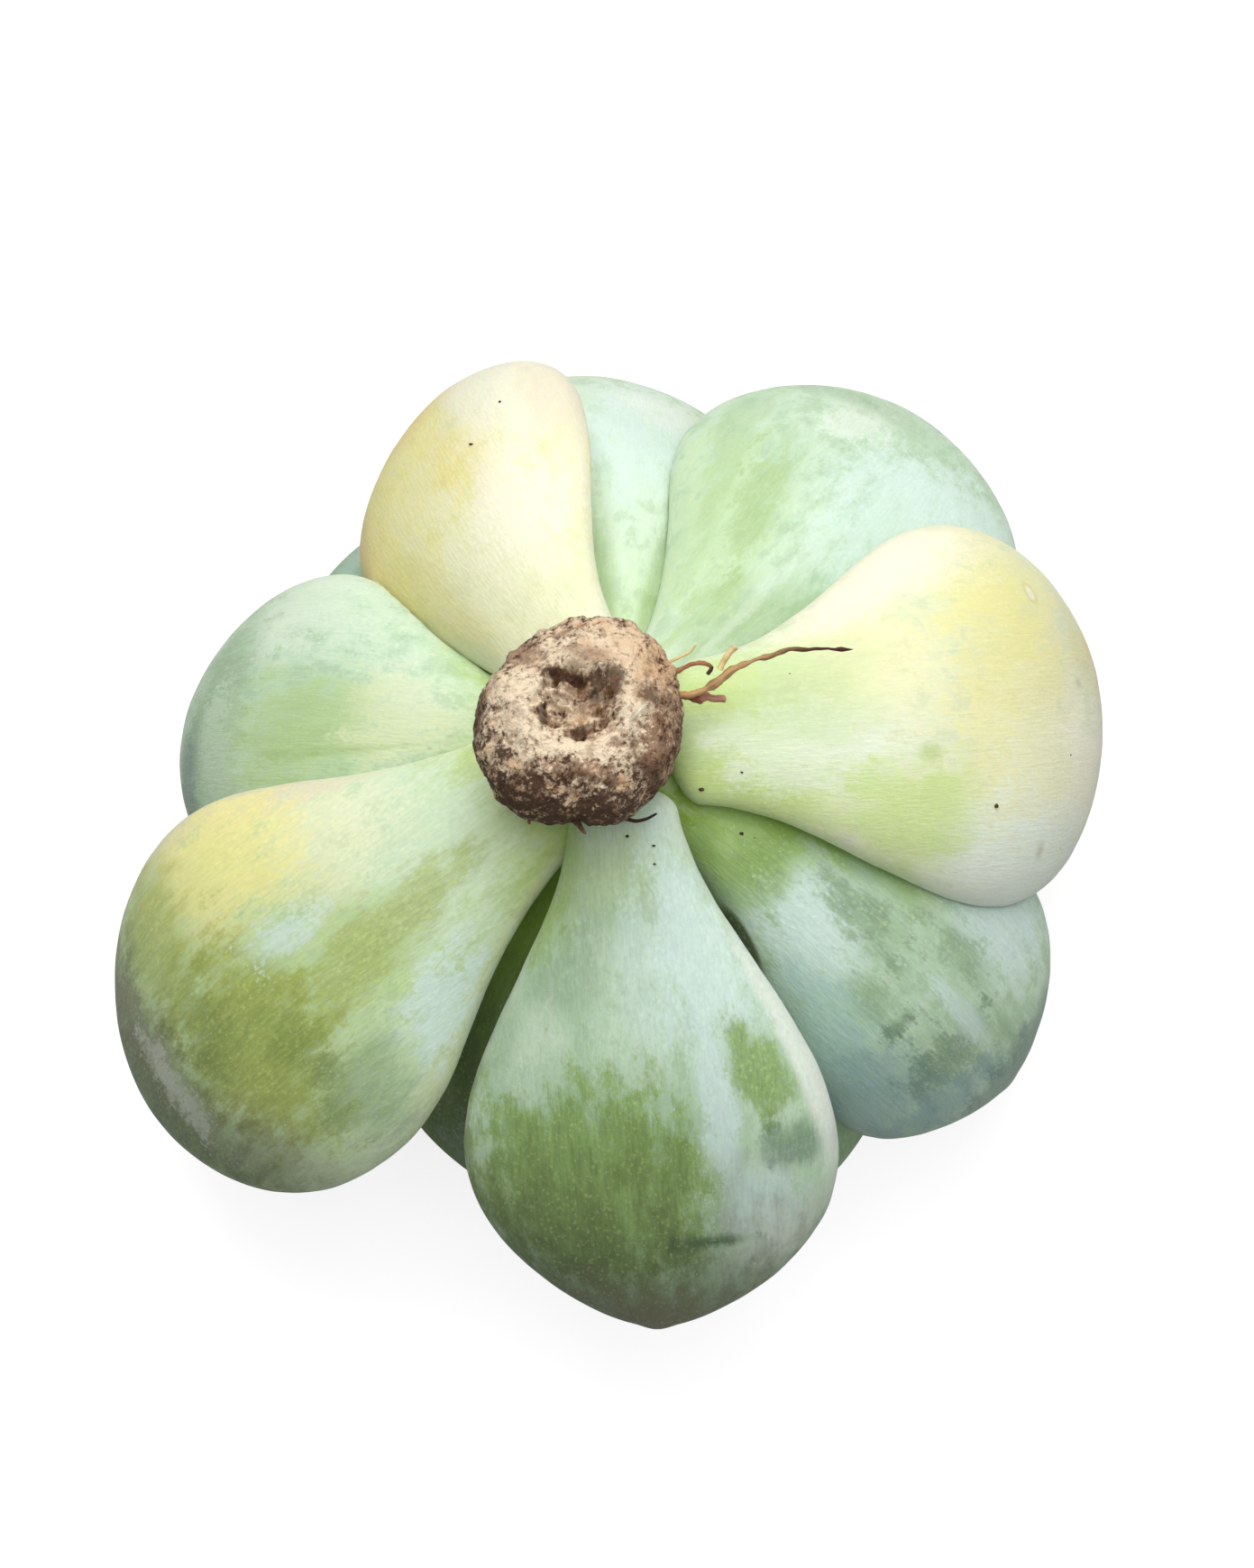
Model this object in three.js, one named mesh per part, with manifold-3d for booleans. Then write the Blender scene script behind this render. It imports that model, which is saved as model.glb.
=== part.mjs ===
// A bare-root succulent rosette, lifted from its soil and laid face down.
//
// Units are millimetres and +Z is up. The plant rests on the tips of its inner leaves, so its cut
// stem stands up in the middle. The origin is on the surface, under the middle of the plant's box.
//
// Leaf 1 is the outermost, fixed highest on the stem in this pose. Each later leaf is fixed a little
// lower and about one golden angle further round, as it grew.

import * as THREE from 'three';
import { mergeVertices } from 'three/addons/utils/BufferGeometryUtils.js';
import Module from 'manifold-3d';

const wasm = await Module();
wasm.setup();

// ---------------------------------------------------------------- driving dimensions

const GOLDEN_ANGLE = 137.5;       // degrees from one leaf to the next
const TOUCH_GAP = 0.3;            // clearance between pieces that press on each other
const FACET_DEPTH = 0.6;          // how far a resting leaf tip is pressed flat
const SURFACE_BLOCK = [200, 20];  // width and depth of the block that stands for the surface

// Leaf cross-section
const LEAF_THICKNESS = 8;         // thickest part of an outer leaf
const BACK_SHARE = 0.62;          // share of the thickness on the keeled outer side
const NECK_THICKNESS = 0.42;      // thickness at the base, as a share of the thickest part
const THICKEST = 0.6;             // where along the leaf it is thickest
const CHANNEL = 0.12;             // depth of the hollow along the inner side, in half-widths
const EDGE_POWER = 0.85;          // below 1 the cross-section is squarer than an ellipse
const BASE_ROUNDING = 0.05;       // share of the length over which the base end is rounded
const POLE_RADIUS = 0.001;        // points of the unit ball nearer its axis than this are its poles

// Outer leaves, each with a lie of its own. Reach is outward, drop is down and lean is sideways, from
// the base to the tip. Neck is the width at the base, as a share of the widest. Widest is where along
// the leaf that is, and the two bends place the midrib's control point, as shares of reach and drop.
const OUTER_LEAVES = [
  // height, azimuth, reach, drop, lean, roll, width, neck, widest, tip, bendOut, bendDown
  [46, 276, 42, 30, -1, 8, 33, 0.28, 0.67, 0.63, 0.57, 0.27],
  [45, 121, 39, 29, -6, -25, 28, 0.35, 0.66, 0.62, 0.6, 0.35],
  [44, 2, 41, 29, 11, 2, 35, 0.36, 0.62, 0.52, 0.69, 0],
  [43, 213, 46, 29, 0, -2, 36, 0.32, 0.59, 0.5, 0.71, 0.27],
  [41, 329, 40, 29, -2, 6, 29, 0.28, 0.73, 0.66, 0.65, 0.25],
  [40, 171, 38, 28, -3, -3, 31, 0.2, 0.63, 0.55, 0.62, 0.26],
  [39, 47, 47, 28, 6, -3, 35, 0.25, 0.59, 0.53, 0.66, 0.25],
  [37.5, 88, 44, 33, 0, 14, 30, 0.22, 0.66, 0.56, 0.64, 0.3],
];

// Inner leaves, whose sizes run evenly from the first value to the last
const INNER_COUNT = 22;
const INNER_HEIGHT = [36.5, 18];    // of the base above the surface
const INNER_AZIMUTH = 256;        // direction of the first one
const INNER_LENGTH = [49, 15];    // base to tip
const INNER_DIP = [46, 84];       // degrees below level
const INNER_WIDTH = [31, 6];
const INNER_THICKNESS = [7, 2.6];
const INNER_SHAPE = { lean: 0, roll: 0, neck: 0.25, widest: 0.64, tip: 0.56, bendOut: 0.64, bendDown: 0.27 };

// Inner leaves that lie out of line, by their number among the inner ones
const STRAY_LEAVES = {
  0: { azimuth: 254, reach: 31, drop: 35 },
  1: { azimuth: 130, reach: 37, drop: 35 },
  5: { azimuth: 300, reach: 35, drop: 30, width: 27 },
};

// Stem, as radius and height along its axis, from the growing tip up to the healed cut
const STEM_PROFILE = [
  [0, 14], [0.8, 16.5], [1.6, 24], [2.6, 34], [3.6, 42], [4.6, 45.5], [5.8, 46.6], [7.4, 48.2], [8.4, 50.2],
  [8.6, 52], [8.1, 54], [6.9, 55.8], [5.3, 56.9], [3.9, 57.1], [2.8, 56.4], [1.5, 55.4], [0, 55],
];
const STEM_LEAN = [-2.9, -1.6];   // how far the knob stands off the axis, in x and y
const LEAN_START = 42;            // the stem is straight below this height
const LEAN_END = 50;              // and has its full lean above this one
const KNOB_LOBES = 5;             // swellings round the knob
const KNOB_LOBE_HEIGHT = 0.02;    // how far they stand out, as a share of the radius

// Dried roots, as the radius at both ends and the points along each
const ROOTS = {
  main_root: [0.5, 0.12, [5, 1.4, 50.4], [7, 1.6, 50.4], [10.4, 3.4, 50.6], [15, 5.4, 49.8], [20.6, 6.3, 48]],
  cut_root: [0.4, 0.5, [5, 0.9, 49], [7.6, 0.8, 48.8], [9.9, 0.8, 48.6]],
  pale_root: [0.28, 0.24, [9, 3.4, 51.2], [9.6, 4.4, 51.6], [10.3, 5.2, 52]],
  looped_root: [0.2, 0.18, [5, 2.8, 52], [7.2, 3.7, 52.2], [8.3, 3.4, 52], [8, 2.8, 51.8]],
  fine_root: [0.14, 0.1, [4.6, 3.6, 52.4], [6.2, 4.2, 52.8], [6.9, 4.9, 53.2]],
  dark_root: [0.22, 0.1, [0.6, -9.2, 49.4], [2.4, -9.1, 48.8], [3.8, -8.4, 48.4]],
};

// Mesh fineness: segments round and along a leaf or root, and round the stem
const FINE_LEAVES = 14;           // leaves fine enough to show, counted from the outermost
const OUTER_SEGMENTS = [14, 12];
const INNER_SEGMENTS = [10, 8];
const ROOT_SEGMENTS = [6, 8];
const STEM_SEGMENTS = 20;

// Finishes
const OUTER_COLOURS = [0xa9c5a5, 0xf1eab8, 0xe9ebb0, 0xb7ca85, 0x8fae9f, 0xb9cfae, 0xcfe3bd, 0xd9eee0];
const INNER_COLOUR = 0xa4c39a;
const STEM_COLOUR = 0xb69b82;
const ROOT_COLOUR = 0xb8955f;
const LEAF_ROUGHNESS = 0.6;
const STEM_ROUGHNESS = 0.9;
const ROOT_ROUGHNESS = 0.8;

// ---------------------------------------------------------------- leaf sizes

const radians = THREE.MathUtils.degToRad;
const mix = THREE.MathUtils.lerp;

// The stem's radius at a height below the knob, for the leaf bases that sit on it.
function stemRadius(height) {
  const above = STEM_PROFILE.findIndex(([, level]) => level > height);
  const [lowRadius, lowLevel] = STEM_PROFILE[above - 1];
  const [highRadius, highLevel] = STEM_PROFILE[above];
  return mix(lowRadius, highRadius, (height - lowLevel) / (highLevel - lowLevel));
}

function outerLeaf(row) {
  const [height, azimuth, reach, drop, lean, roll, width, neck, widest, tip, bendOut, bendDown] = row;
  const thickness = LEAF_THICKNESS;
  return { height, azimuth, reach, drop, lean, roll, width, thickness, neck, widest, tip, bendOut, bendDown };
}

function innerLeaf(index) {
  const youth = index / (INNER_COUNT - 1);
  const length = mix(...INNER_LENGTH, youth);
  const dip = radians(mix(...INNER_DIP, youth));
  return {
    ...INNER_SHAPE,
    height: mix(...INNER_HEIGHT, youth),
    azimuth: INNER_AZIMUTH - GOLDEN_ANGLE * index,
    reach: length * Math.cos(dip),
    drop: length * Math.sin(dip),
    width: mix(...INNER_WIDTH, youth),
    thickness: mix(...INNER_THICKNESS, youth),
    ...STRAY_LEAVES[index],
  };
}

// ---------------------------------------------------------------- shapes

// A share that rises along half a sine wave from its value at the base to 1 at the peak.
function swell(along, atBase, peak) {
  const rise = Math.sin((Math.PI / 2) * Math.min(along / peak, 1)) ** 2;
  return mix(atBase, 1, rise);
}

// A share that falls from 1 at the peak to 0 at the tip. A power of 0.5 makes the end an ellipse.
function taper(along, peak, power) {
  const past = Math.max(along - peak, 0) / (1 - peak);
  return Math.max(1 - past ** 2, 0) ** power;
}

function baseEnd(along) {
  const left = Math.max(1 - along / BASE_ROUNDING, 0);
  return Math.sqrt(1 - left ** 2);
}

function signedPower(value, power) {
  return Math.sign(value) * Math.abs(value) ** power;
}

// The midrib, a curve that leaves the stem near level and bends down to the tip.
function midrib(leaf) {
  const out = new THREE.Vector3(Math.cos(radians(leaf.azimuth)), Math.sin(radians(leaf.azimuth)), 0);
  const side = new THREE.Vector3(-out.y, out.x, 0);
  const start = out.clone().multiplyScalar(stemRadius(leaf.height) + TOUCH_GAP).setZ(leaf.height);
  const bend = start.clone().addScaledVector(out, leaf.reach * leaf.bendOut);
  bend.z -= leaf.drop * leaf.bendDown;
  const tip = start.clone().addScaledVector(out, leaf.reach).addScaledVector(side, leaf.lean);
  tip.z -= leaf.drop;
  return { curve: new THREE.QuadraticBezierCurve3(start, bend, tip), side };
}

// A ball stretched along the midrib: one pole is the base, the other the tip. Growth is added to
// the half-width and to both faces, for a slightly larger copy.
function leafGeometry(leaf, segments, growth = 0) {
  const { curve, side } = midrib(leaf);
  const geometry = new THREE.SphereGeometry(1, ...segments);
  const points = geometry.attributes.position;
  const point = new THREE.Vector3();
  for (let i = 0; i < points.count; i += 1) {
    point.fromBufferAttribute(points, i);
    const along = THREE.MathUtils.clamp((1 - point.y) / 2, 0, 1);
    const turn = Math.atan2(point.z, point.x);
    const forward = curve.getTangent(along);
    const across = side.clone().addScaledVector(forward, -side.dot(forward)).normalize();
    across.applyAxisAngle(forward, radians(leaf.roll));
    const back = forward.clone().cross(across);
    const outline = swell(along, leaf.neck, leaf.widest) * taper(along, leaf.widest, leaf.tip);
    const halfWidth = (leaf.width / 2) * outline * baseEnd(along);
    const body = swell(along, NECK_THICKNESS, THICKEST) * taper(along, THICKEST, 0.5) * baseEnd(along);
    const backShare = point.z > 0 ? BACK_SHARE : 1 - BACK_SHARE;
    const extra = Math.hypot(point.x, point.z) > POLE_RADIUS ? growth : 0;
    const sideways = (halfWidth + extra) * signedPower(Math.cos(turn), EDGE_POWER);
    const outwards = (leaf.thickness * body * backShare + extra) * signedPower(Math.sin(turn), EDGE_POWER);
    const hollow = CHANNEL * halfWidth * Math.abs(Math.cos(turn)) ** (2 * EDGE_POWER);
    const centre = curve.getPoint(along);
    centre.addScaledVector(across, sideways).addScaledVector(back, outwards - hollow);
    points.setXYZ(i, centre.x, centre.y, centre.z);
  }
  return geometry;
}

// A leaf whose tip would dip under the surface is lifted until it just presses on it.
function restOnSurface(leaf) {
  const geometry = leafGeometry(leaf, INNER_SEGMENTS);
  geometry.computeBoundingBox();
  const excess = -FACET_DEPTH - geometry.boundingBox.min.z;
  return { ...leaf, drop: leaf.drop - Math.max(excess, 0) };
}

function stemGeometry(growth = 0) {
  const profile = STEM_PROFILE.map(([radius, height]) => new THREE.Vector2(radius, height));
  const geometry = new THREE.LatheGeometry(profile, STEM_SEGMENTS).rotateX(Math.PI / 2);
  const points = geometry.attributes.position;
  for (let i = 0; i < points.count; i += 1) {
    const turn = Math.atan2(points.getY(i), points.getX(i));
    const height = points.getZ(i);
    const lean = THREE.MathUtils.smoothstep(height, LEAN_START, LEAN_END);
    const radius = Math.hypot(points.getX(i), points.getY(i));
    const lobes = 1 + lean * KNOB_LOBE_HEIGHT * Math.sin(KNOB_LOBES * turn);
    const swollen = radius > 0 ? radius * lobes + growth : 0;
    const x = swollen * Math.cos(turn) + lean * STEM_LEAN[0];
    const y = swollen * Math.sin(turn) + lean * STEM_LEAN[1];
    points.setXYZ(i, x, y, height);
  }
  return geometry;
}

function rootGeometry([startRadius, endRadius, ...stations]) {
  const curve = new THREE.CatmullRomCurve3(stations.map((station) => new THREE.Vector3(...station)));
  const [around, steps] = ROOT_SEGMENTS;
  const frames = curve.computeFrenetFrames(steps);
  const geometry = new THREE.CylinderGeometry(1, 1, 1, around, steps);
  const points = geometry.attributes.position;
  for (let i = 0; i < points.count; i += 1) {
    const along = THREE.MathUtils.clamp(0.5 - points.getY(i), 0, 1);
    const step = Math.round(along * steps);
    const radius = mix(startRadius, endRadius, along);
    const centre = curve.getPointAt(along);
    centre.addScaledVector(frames.normals[step], radius * points.getX(i));
    centre.addScaledVector(frames.binormals[step], radius * points.getZ(i));
    points.setXYZ(i, centre.x, centre.y, centre.z);
  }
  return geometry;
}

// ---------------------------------------------------------------- fitting pieces together

function solidFrom(geometry) {
  const bare = geometry.clone();
  bare.deleteAttribute('normal');
  bare.deleteAttribute('uv');
  const merged = mergeVertices(bare);
  return new wasm.Manifold(new wasm.Mesh({
    numProp: 3,
    vertProperties: new Float32Array(merged.attributes.position.array),
    triVerts: new Uint32Array(merged.index.array),
  }));
}

function geometryFrom(solid) {
  const mesh = solid.getMesh();
  const geometry = new THREE.BufferGeometry();
  geometry.setAttribute('position', new THREE.BufferAttribute(mesh.vertProperties, mesh.numProp));
  geometry.setIndex(new THREE.BufferAttribute(mesh.triVerts, 1));
  geometry.computeVertexNormals();
  return geometry;
}

// A piece trimmed back from each larger copy of a neighbour that it would press into.
function trimmed(solid, neighbours) {
  return neighbours.reduce((rest, neighbour) => {
    const pressed = rest.intersect(neighbour).volume() > 0;
    return pressed ? rest.subtract(neighbour) : rest;
  }, solid);
}

// The largest piece, without any sliver that trimming cut loose.
function largestPiece(solid) {
  return solid.decompose().sort((a, b) => b.volume() - a.volume())[0];
}

// ---------------------------------------------------------------- assembly

function piece(name, geometry, colour, roughness) {
  const material = new THREE.MeshStandardMaterial({ color: colour, roughness, metalness: 0 });
  const mesh = new THREE.Mesh(geometry, material);
  mesh.name = name;
  return mesh;
}

// Leaves in order from the outermost in, each fitted to the surface, the stem and the leaves before
// it. The surface's block presses each resting tip into a flat facet.
function leafPieces() {
  const outer = OUTER_LEAVES.map(outerLeaf);
  const inner = Array.from({ length: INNER_COUNT }, (_, index) => innerLeaf(index));
  const [blockWidth, blockDepth] = SURFACE_BLOCK;
  const surface = new THREE.BoxGeometry(blockWidth, blockWidth, blockDepth).translate(0, 0, -blockDepth / 2);
  const placed = [solidFrom(surface), solidFrom(stemGeometry(TOUCH_GAP))];
  return [...outer, ...inner].map((sizes, index) => {
    const segments = index < FINE_LEAVES ? OUTER_SEGMENTS : INNER_SEGMENTS;
    const leaf = restOnSurface(restOnSurface(sizes));
    const whole = solidFrom(leafGeometry(leaf, segments));
    const fitted = largestPiece(trimmed(whole, placed));
    placed.push(solidFrom(leafGeometry(leaf, segments, TOUCH_GAP)));
    const colour = OUTER_COLOURS[index] ?? INNER_COLOUR;
    return piece(`leaf_${String(index + 1).padStart(2, '0')}`, geometryFrom(fitted), colour, LEAF_ROUGHNESS);
  });
}

function rootPieces() {
  const around = [solidFrom(stemGeometry(TOUCH_GAP))];
  return Object.entries(ROOTS).map(([name, sizes]) => {
    const fitted = largestPiece(trimmed(solidFrom(rootGeometry(sizes)), around));
    return piece(name, geometryFrom(fitted), ROOT_COLOUR, ROOT_ROUGHNESS);
  });
}

const plant = new THREE.Group();
plant.add(piece('stem', geometryFrom(solidFrom(stemGeometry())), STEM_COLOUR, STEM_ROUGHNESS));
plant.add(...leafPieces(), ...rootPieces());

const middle = new THREE.Box3().setFromObject(plant, true).getCenter(new THREE.Vector3());
plant.position.set(-middle.x, -middle.y, 0);

const rosette = new THREE.Group();
rosette.add(plant);

export default rosette;
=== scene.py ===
"""A bare-root succulent rosette, lying face down with its healed stem and dried roots uppermost.

The sizes held by the classes are in millimetres, about the plant's own stem axis. They are brought
into the row frame, in metres, as each mesh is made.
"""

import logging
import math
from dataclasses import dataclass
from enum import Enum

import bpy
import numpy as np
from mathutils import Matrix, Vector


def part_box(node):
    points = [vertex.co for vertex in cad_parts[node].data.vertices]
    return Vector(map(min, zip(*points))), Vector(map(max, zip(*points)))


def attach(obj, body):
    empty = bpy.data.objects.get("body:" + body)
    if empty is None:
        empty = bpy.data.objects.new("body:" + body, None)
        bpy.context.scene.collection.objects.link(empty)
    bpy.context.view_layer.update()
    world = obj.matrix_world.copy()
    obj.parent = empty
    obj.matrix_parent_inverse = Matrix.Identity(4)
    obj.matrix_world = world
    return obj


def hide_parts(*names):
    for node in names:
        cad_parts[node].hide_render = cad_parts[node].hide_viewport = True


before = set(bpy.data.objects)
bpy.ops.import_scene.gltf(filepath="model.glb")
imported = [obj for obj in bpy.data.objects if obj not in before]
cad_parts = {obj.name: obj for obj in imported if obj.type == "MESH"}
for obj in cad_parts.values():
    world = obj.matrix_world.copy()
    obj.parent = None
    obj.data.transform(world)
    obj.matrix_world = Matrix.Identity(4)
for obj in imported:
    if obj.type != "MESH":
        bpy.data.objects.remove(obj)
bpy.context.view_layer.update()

MM = 0.001
GOLDEN_ANGLE = 137.5
LOG = logging.getLogger("rosette")

Vector3 = tuple[float, float, float]


# ---------------- small sums


def smoothstep(low: float, high: float, value: np.ndarray) -> np.ndarray:
    """Rise from 0 to 1 between two values, level at both ends.

    Args:
        low: Where the rise starts.
        high: Where it is complete.
        value: The values to place.

    Returns:
        3t^2 - 2t^3, where t is the share of the way from low to high.
    """
    share = np.clip((value - low) / (high - low), 0.0, 1.0)
    return share * share * (3.0 - 2.0 * share)


def signed_power(value: np.ndarray, power: float) -> np.ndarray:
    """Raise the size of each value to a power and keep its sign."""
    return np.sign(value) * np.abs(value) ** power


def unit(vectors: np.ndarray) -> np.ndarray:
    """Scale each vector to length one."""
    return vectors / np.maximum(np.linalg.norm(vectors, axis=-1, keepdims=True), 1e-12)


def linear(hex_colour: str) -> tuple[float, float, float, float]:
    """Turn a six-digit screen colour into linear red, green, blue and alpha."""
    parts = [int(hex_colour[i : i + 2], 16) / 255.0 for i in (0, 2, 4)]
    red, green, blue = (c / 12.92 if c <= 0.04045 else ((c + 0.055) / 1.055) ** 2.4 for c in parts)
    return (red, green, blue, 1.0)


@dataclass(frozen=True)
class Lumps:
    """A smooth random field in space, the same on every run."""

    seed: int

    TABLE_SIZE = 4096
    PRIMES = (73856093, 19349663, 83492791)
    OCTAVE_SHIFT = 17.3

    def field(self, points: np.ndarray, size: float, octaves: int = 1) -> np.ndarray:
        """Work out the field at some points.

        Random values stand on a lattice of the given size and are blended between its corners. Each
        further octave is half as large and half as strong.

        Args:
            points: Points, in an array whose last axis is x, y and z.
            size: Lattice spacing, in the points' own unit.
            octaves: How many lattices are added up.

        Returns:
            Values from about -1 to 1.
        """
        table = np.random.default_rng(self.seed).uniform(-1.0, 1.0, self.TABLE_SIZE)
        total = np.zeros(points.shape[:-1])
        for octave in range(octaves):
            scaled = points * (2.0**octave / size) + self.OCTAVE_SHIFT * octave
            cell = np.floor(scaled).astype(np.int64)
            part = scaled - cell
            part = part * part * (3.0 - 2.0 * part)
            value = np.zeros(points.shape[:-1])
            for corner in np.ndindex(2, 2, 2):
                at = cell + np.array(corner)
                key = np.bitwise_xor.reduce(at * self.PRIMES, axis=-1)
                weight = np.prod(np.where(np.array(corner) == 1, part, 1.0 - part), axis=-1)
                value += weight * table[key & (self.TABLE_SIZE - 1)]
            total += value * 0.5**octave
        return total


# ---------------- meshes


def closed_skin(
    name: str,
    rings: np.ndarray,
    start: np.ndarray,
    end: np.ndarray,
    marks: dict[str, np.ndarray],
) -> bpy.types.Object:
    """Make a closed mesh from rings of points and the two points that close its ends.

    Each ring joins to the next with four-sided faces, and the first and last rings join to the end
    points with triangles. The faces are turned outwards by the sign of the volume they enclose.

    Args:
        name: Name of the piece.
        rings: Points in millimetres, as ring, place round the ring, and x, y, z.
        start: The point before the first ring.
        end: The point after the last ring.
        marks: Vectors kept on the points for the finish, one per ring point. An end point gets the
            mean of the ring next to it.

    Returns:
        The piece, smooth shaded, in the row frame and in metres.
    """
    rows, columns = rings.shape[:2]
    here = np.arange(rows * columns).reshape(rows, columns)
    onward = np.roll(here, -1, axis=1)
    sides = np.stack([here[:-1], onward[:-1], onward[1:], here[1:]], axis=-1).reshape(-1, 4)
    first = np.stack([np.full(columns, rows * columns), onward[0], here[0]], axis=-1)
    last = np.stack([np.full(columns, rows * columns + 1), here[-1], onward[-1]], axis=-1)
    points = np.concatenate([rings.reshape(-1, 3), start[None], end[None]])
    ends = np.concatenate([first, last])
    triangles = np.concatenate([sides[:, :3], sides[:, [0, 2, 3]], ends])
    corners = points[triangles]
    volume = np.einsum("ij,ij->i", corners[:, 0], np.cross(corners[:, 1], corners[:, 2])).sum()
    if volume < 0.0:
        sides = sides[:, ::-1]
        ends = ends[:, ::-1]
    piece = skin_piece(name, points, sides.tolist() + ends.tolist())
    for mark, values in marks.items():
        closed = np.concatenate([values.reshape(-1, 3), values[0].mean(0)[None], values[-1].mean(0)[None]])
        attribute = piece.data.attributes.new(mark, "FLOAT_VECTOR", "POINT")
        attribute.data.foreach_set("vector", closed.astype(np.float32).ravel())
    return piece


def skin_piece(name: str, points: np.ndarray, faces: list[list[int]]) -> bpy.types.Object:
    """Put points and faces into a mesh, in metres in the row frame, and add it to the scene."""
    mesh = bpy.data.meshes.new(name)
    mesh.from_pydata(((points + PLANT_SHIFT) * MM).tolist(), [], faces)
    mesh.shade_smooth()
    mesh.update()
    return add_object(name, mesh)


def add_object(name: str, data: bpy.types.ID) -> bpy.types.Object:
    """Add a mesh, light or camera to the scene as an object."""
    added = bpy.data.objects.new(name, data)
    bpy.context.scene.collection.objects.link(added)
    return added


# ---------------- finishes


class Tint(Enum):
    """The colours that the plant's finishes are mixed from."""

    CHALK = "E6EFE3"
    BLUE_CHALK = "D3E8E0"
    CREAM = "F3F0D9"
    IVORY = "E9EBC6"
    LEMON = "ECE596"
    STRAW = "DCD382"
    PEACH = "E8C27C"
    BLUSH = "DDCFB8"
    LIME = "97B93F"
    BRIGHT_LIME = "B4D62E"
    PALE_LIME = "C9DE90"
    FRESH = "C2DAA2"
    PALE_MINT = "D0E4CA"
    MINT = "BBD7B8"
    BLUE_MINT = "AACBBE"
    BLUE_GREY = "86A5A4"
    SLATE = "5F7674"
    SAGE = "84A377"
    LEAF = "8BAC5A"
    MEADOW = "A6B55A"
    OLIVE = "728B43"
    DEEP = "50744F"
    MOSS = "4E6130"
    TAUPE = "756C54"
    SOIL = "2B2019"
    CORK_CREAM = "EAD8BC"
    CORK_TAN = "D3AC84"
    CORK_BROWN = "85624A"
    CORK_DARK = "4A3426"
    ROOT_RUST = "AC7450"
    ROOT_TAN = "C29B6B"
    ROOT_RED = "9C5F45"
    ROOT_PINK = "BC8A74"
    ROOT_STRAW = "E6CB93"
    ROOT_DARK = "4A2A1C"

    @property
    def colour(self) -> tuple[float, float, float, float]:
        """The tint as linear colour."""
        return linear(self.value)


Socket = bpy.types.NodeSocket
FLOAT = "NodeSocketFloat"
VECTOR = "NodeSocketVector"


class Bench:
    """Adds the nodes of one material, world or node group and joins them."""

    def __init__(self, tree: bpy.types.NodeTree) -> None:
        """Keep the tree that the nodes go into."""
        self.tree = tree

    def put(self, kind: str, inputs: dict | None = None, **settings: object) -> bpy.types.Node:
        """Add one node.

        Args:
            kind: Blender's name for the node.
            inputs: Socket name or number, to a value, a tint or the output that feeds it.
            settings: Properties of the node itself.

        Returns:
            The node.
        """
        node = self.tree.nodes.new(kind)
        for key, value in settings.items():
            setattr(node, key, value)
        for key, value in (inputs or {}).items():
            if isinstance(value, Socket):
                self.tree.links.new(value, node.inputs[key])
            else:
                node.inputs[key].default_value = value.colour if isinstance(value, Tint) else value
        return node

    def use(self, group: bpy.types.NodeTree, inputs: dict) -> list[Socket]:
        """Add a shared group and return its outputs."""
        return list(self.put("ShaderNodeGroup", inputs, node_tree=group).outputs)

    def sum(self, operation: str, *values: object) -> Socket:
        """Add a Math node and return its output."""
        return self.put("ShaderNodeMath", dict(enumerate(values)), operation=operation).outputs[0]

    def weigh(self, *parts: tuple[Socket, float]) -> Socket:
        """Add up some values, each times its weight."""
        total, *rest = [self.sum("MULTIPLY", value, weight) for value, weight in parts]
        for part in rest:
            total = self.sum("ADD", total, part)
        return total

    def vector(self, operation: str, *values: object) -> Socket:
        """Add a Vector Math node and return its vector."""
        return self.put("ShaderNodeVectorMath", dict(enumerate(values)), operation=operation).outputs[0]

    def length(self, vector: Socket) -> Socket:
        """Take a vector's length in the plane of its first two parts."""
        flat = self.vector("MULTIPLY", vector, (1.0, 1.0, 0.0))
        return self.put("ShaderNodeVectorMath", {0: flat}, operation="LENGTH").outputs["Value"]

    def split(self, vector: Socket) -> list[Socket]:
        """Take a vector's three parts."""
        return list(self.put("ShaderNodeSeparateXYZ", {0: vector}).outputs)

    def blend(self, share: object, under: object, over: object, how: str = "MIX") -> Socket:
        """Lay one colour over another by a share and return the result."""
        inputs = {0: share, 6: under, 7: over}
        return self.put("ShaderNodeMix", inputs, data_type="RGBA", blend_type=how).outputs[2]

    def coats(self, colour: object, *coats: tuple[object, object]) -> Socket:
        """Lay colours over a first one in order, each by its share."""
        for share, over in coats:
            colour = self.blend(share, colour, over)
        return colour

    def fit(
        self, value: object, low: object, high: object, to_low: float = 0.0, to_high: float = 1.0
    ) -> Socket:
        """Carry a value from one range to another, smoothly and without going past the ends."""
        inputs = {"Value": value, 1: low, 2: high, 3: to_low, 4: to_high}
        return self.put("ShaderNodeMapRange", inputs, interpolation_type="SMOOTHSTEP").outputs[0]

    def noise(self, vector: Socket, scale: float, detail: float = 2.0, rough: float = 0.5) -> Socket:
        """Add a noise texture and return its value."""
        inputs = {"Vector": vector, "Scale": scale, "Detail": detail, "Roughness": rough}
        return self.put("ShaderNodeTexNoise", inputs).outputs[0]

    def mark(self, name: str) -> Socket:
        """Read a vector kept on the piece's points."""
        return self.put("ShaderNodeAttribute", attribute_name=name).outputs["Vector"]

    def give(self, made: dict[str, Socket]) -> bpy.types.NodeTree:
        """Join each value to an output of the group, by name, and return the group."""
        for label in made:
            self.tree.interface.new_socket(label, in_out="OUTPUT", socket_type=FLOAT)
        out = self.put("NodeGroupOutput")
        for label, value in made.items():
            self.tree.links.new(value, out.inputs[label])
        return self.tree


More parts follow.
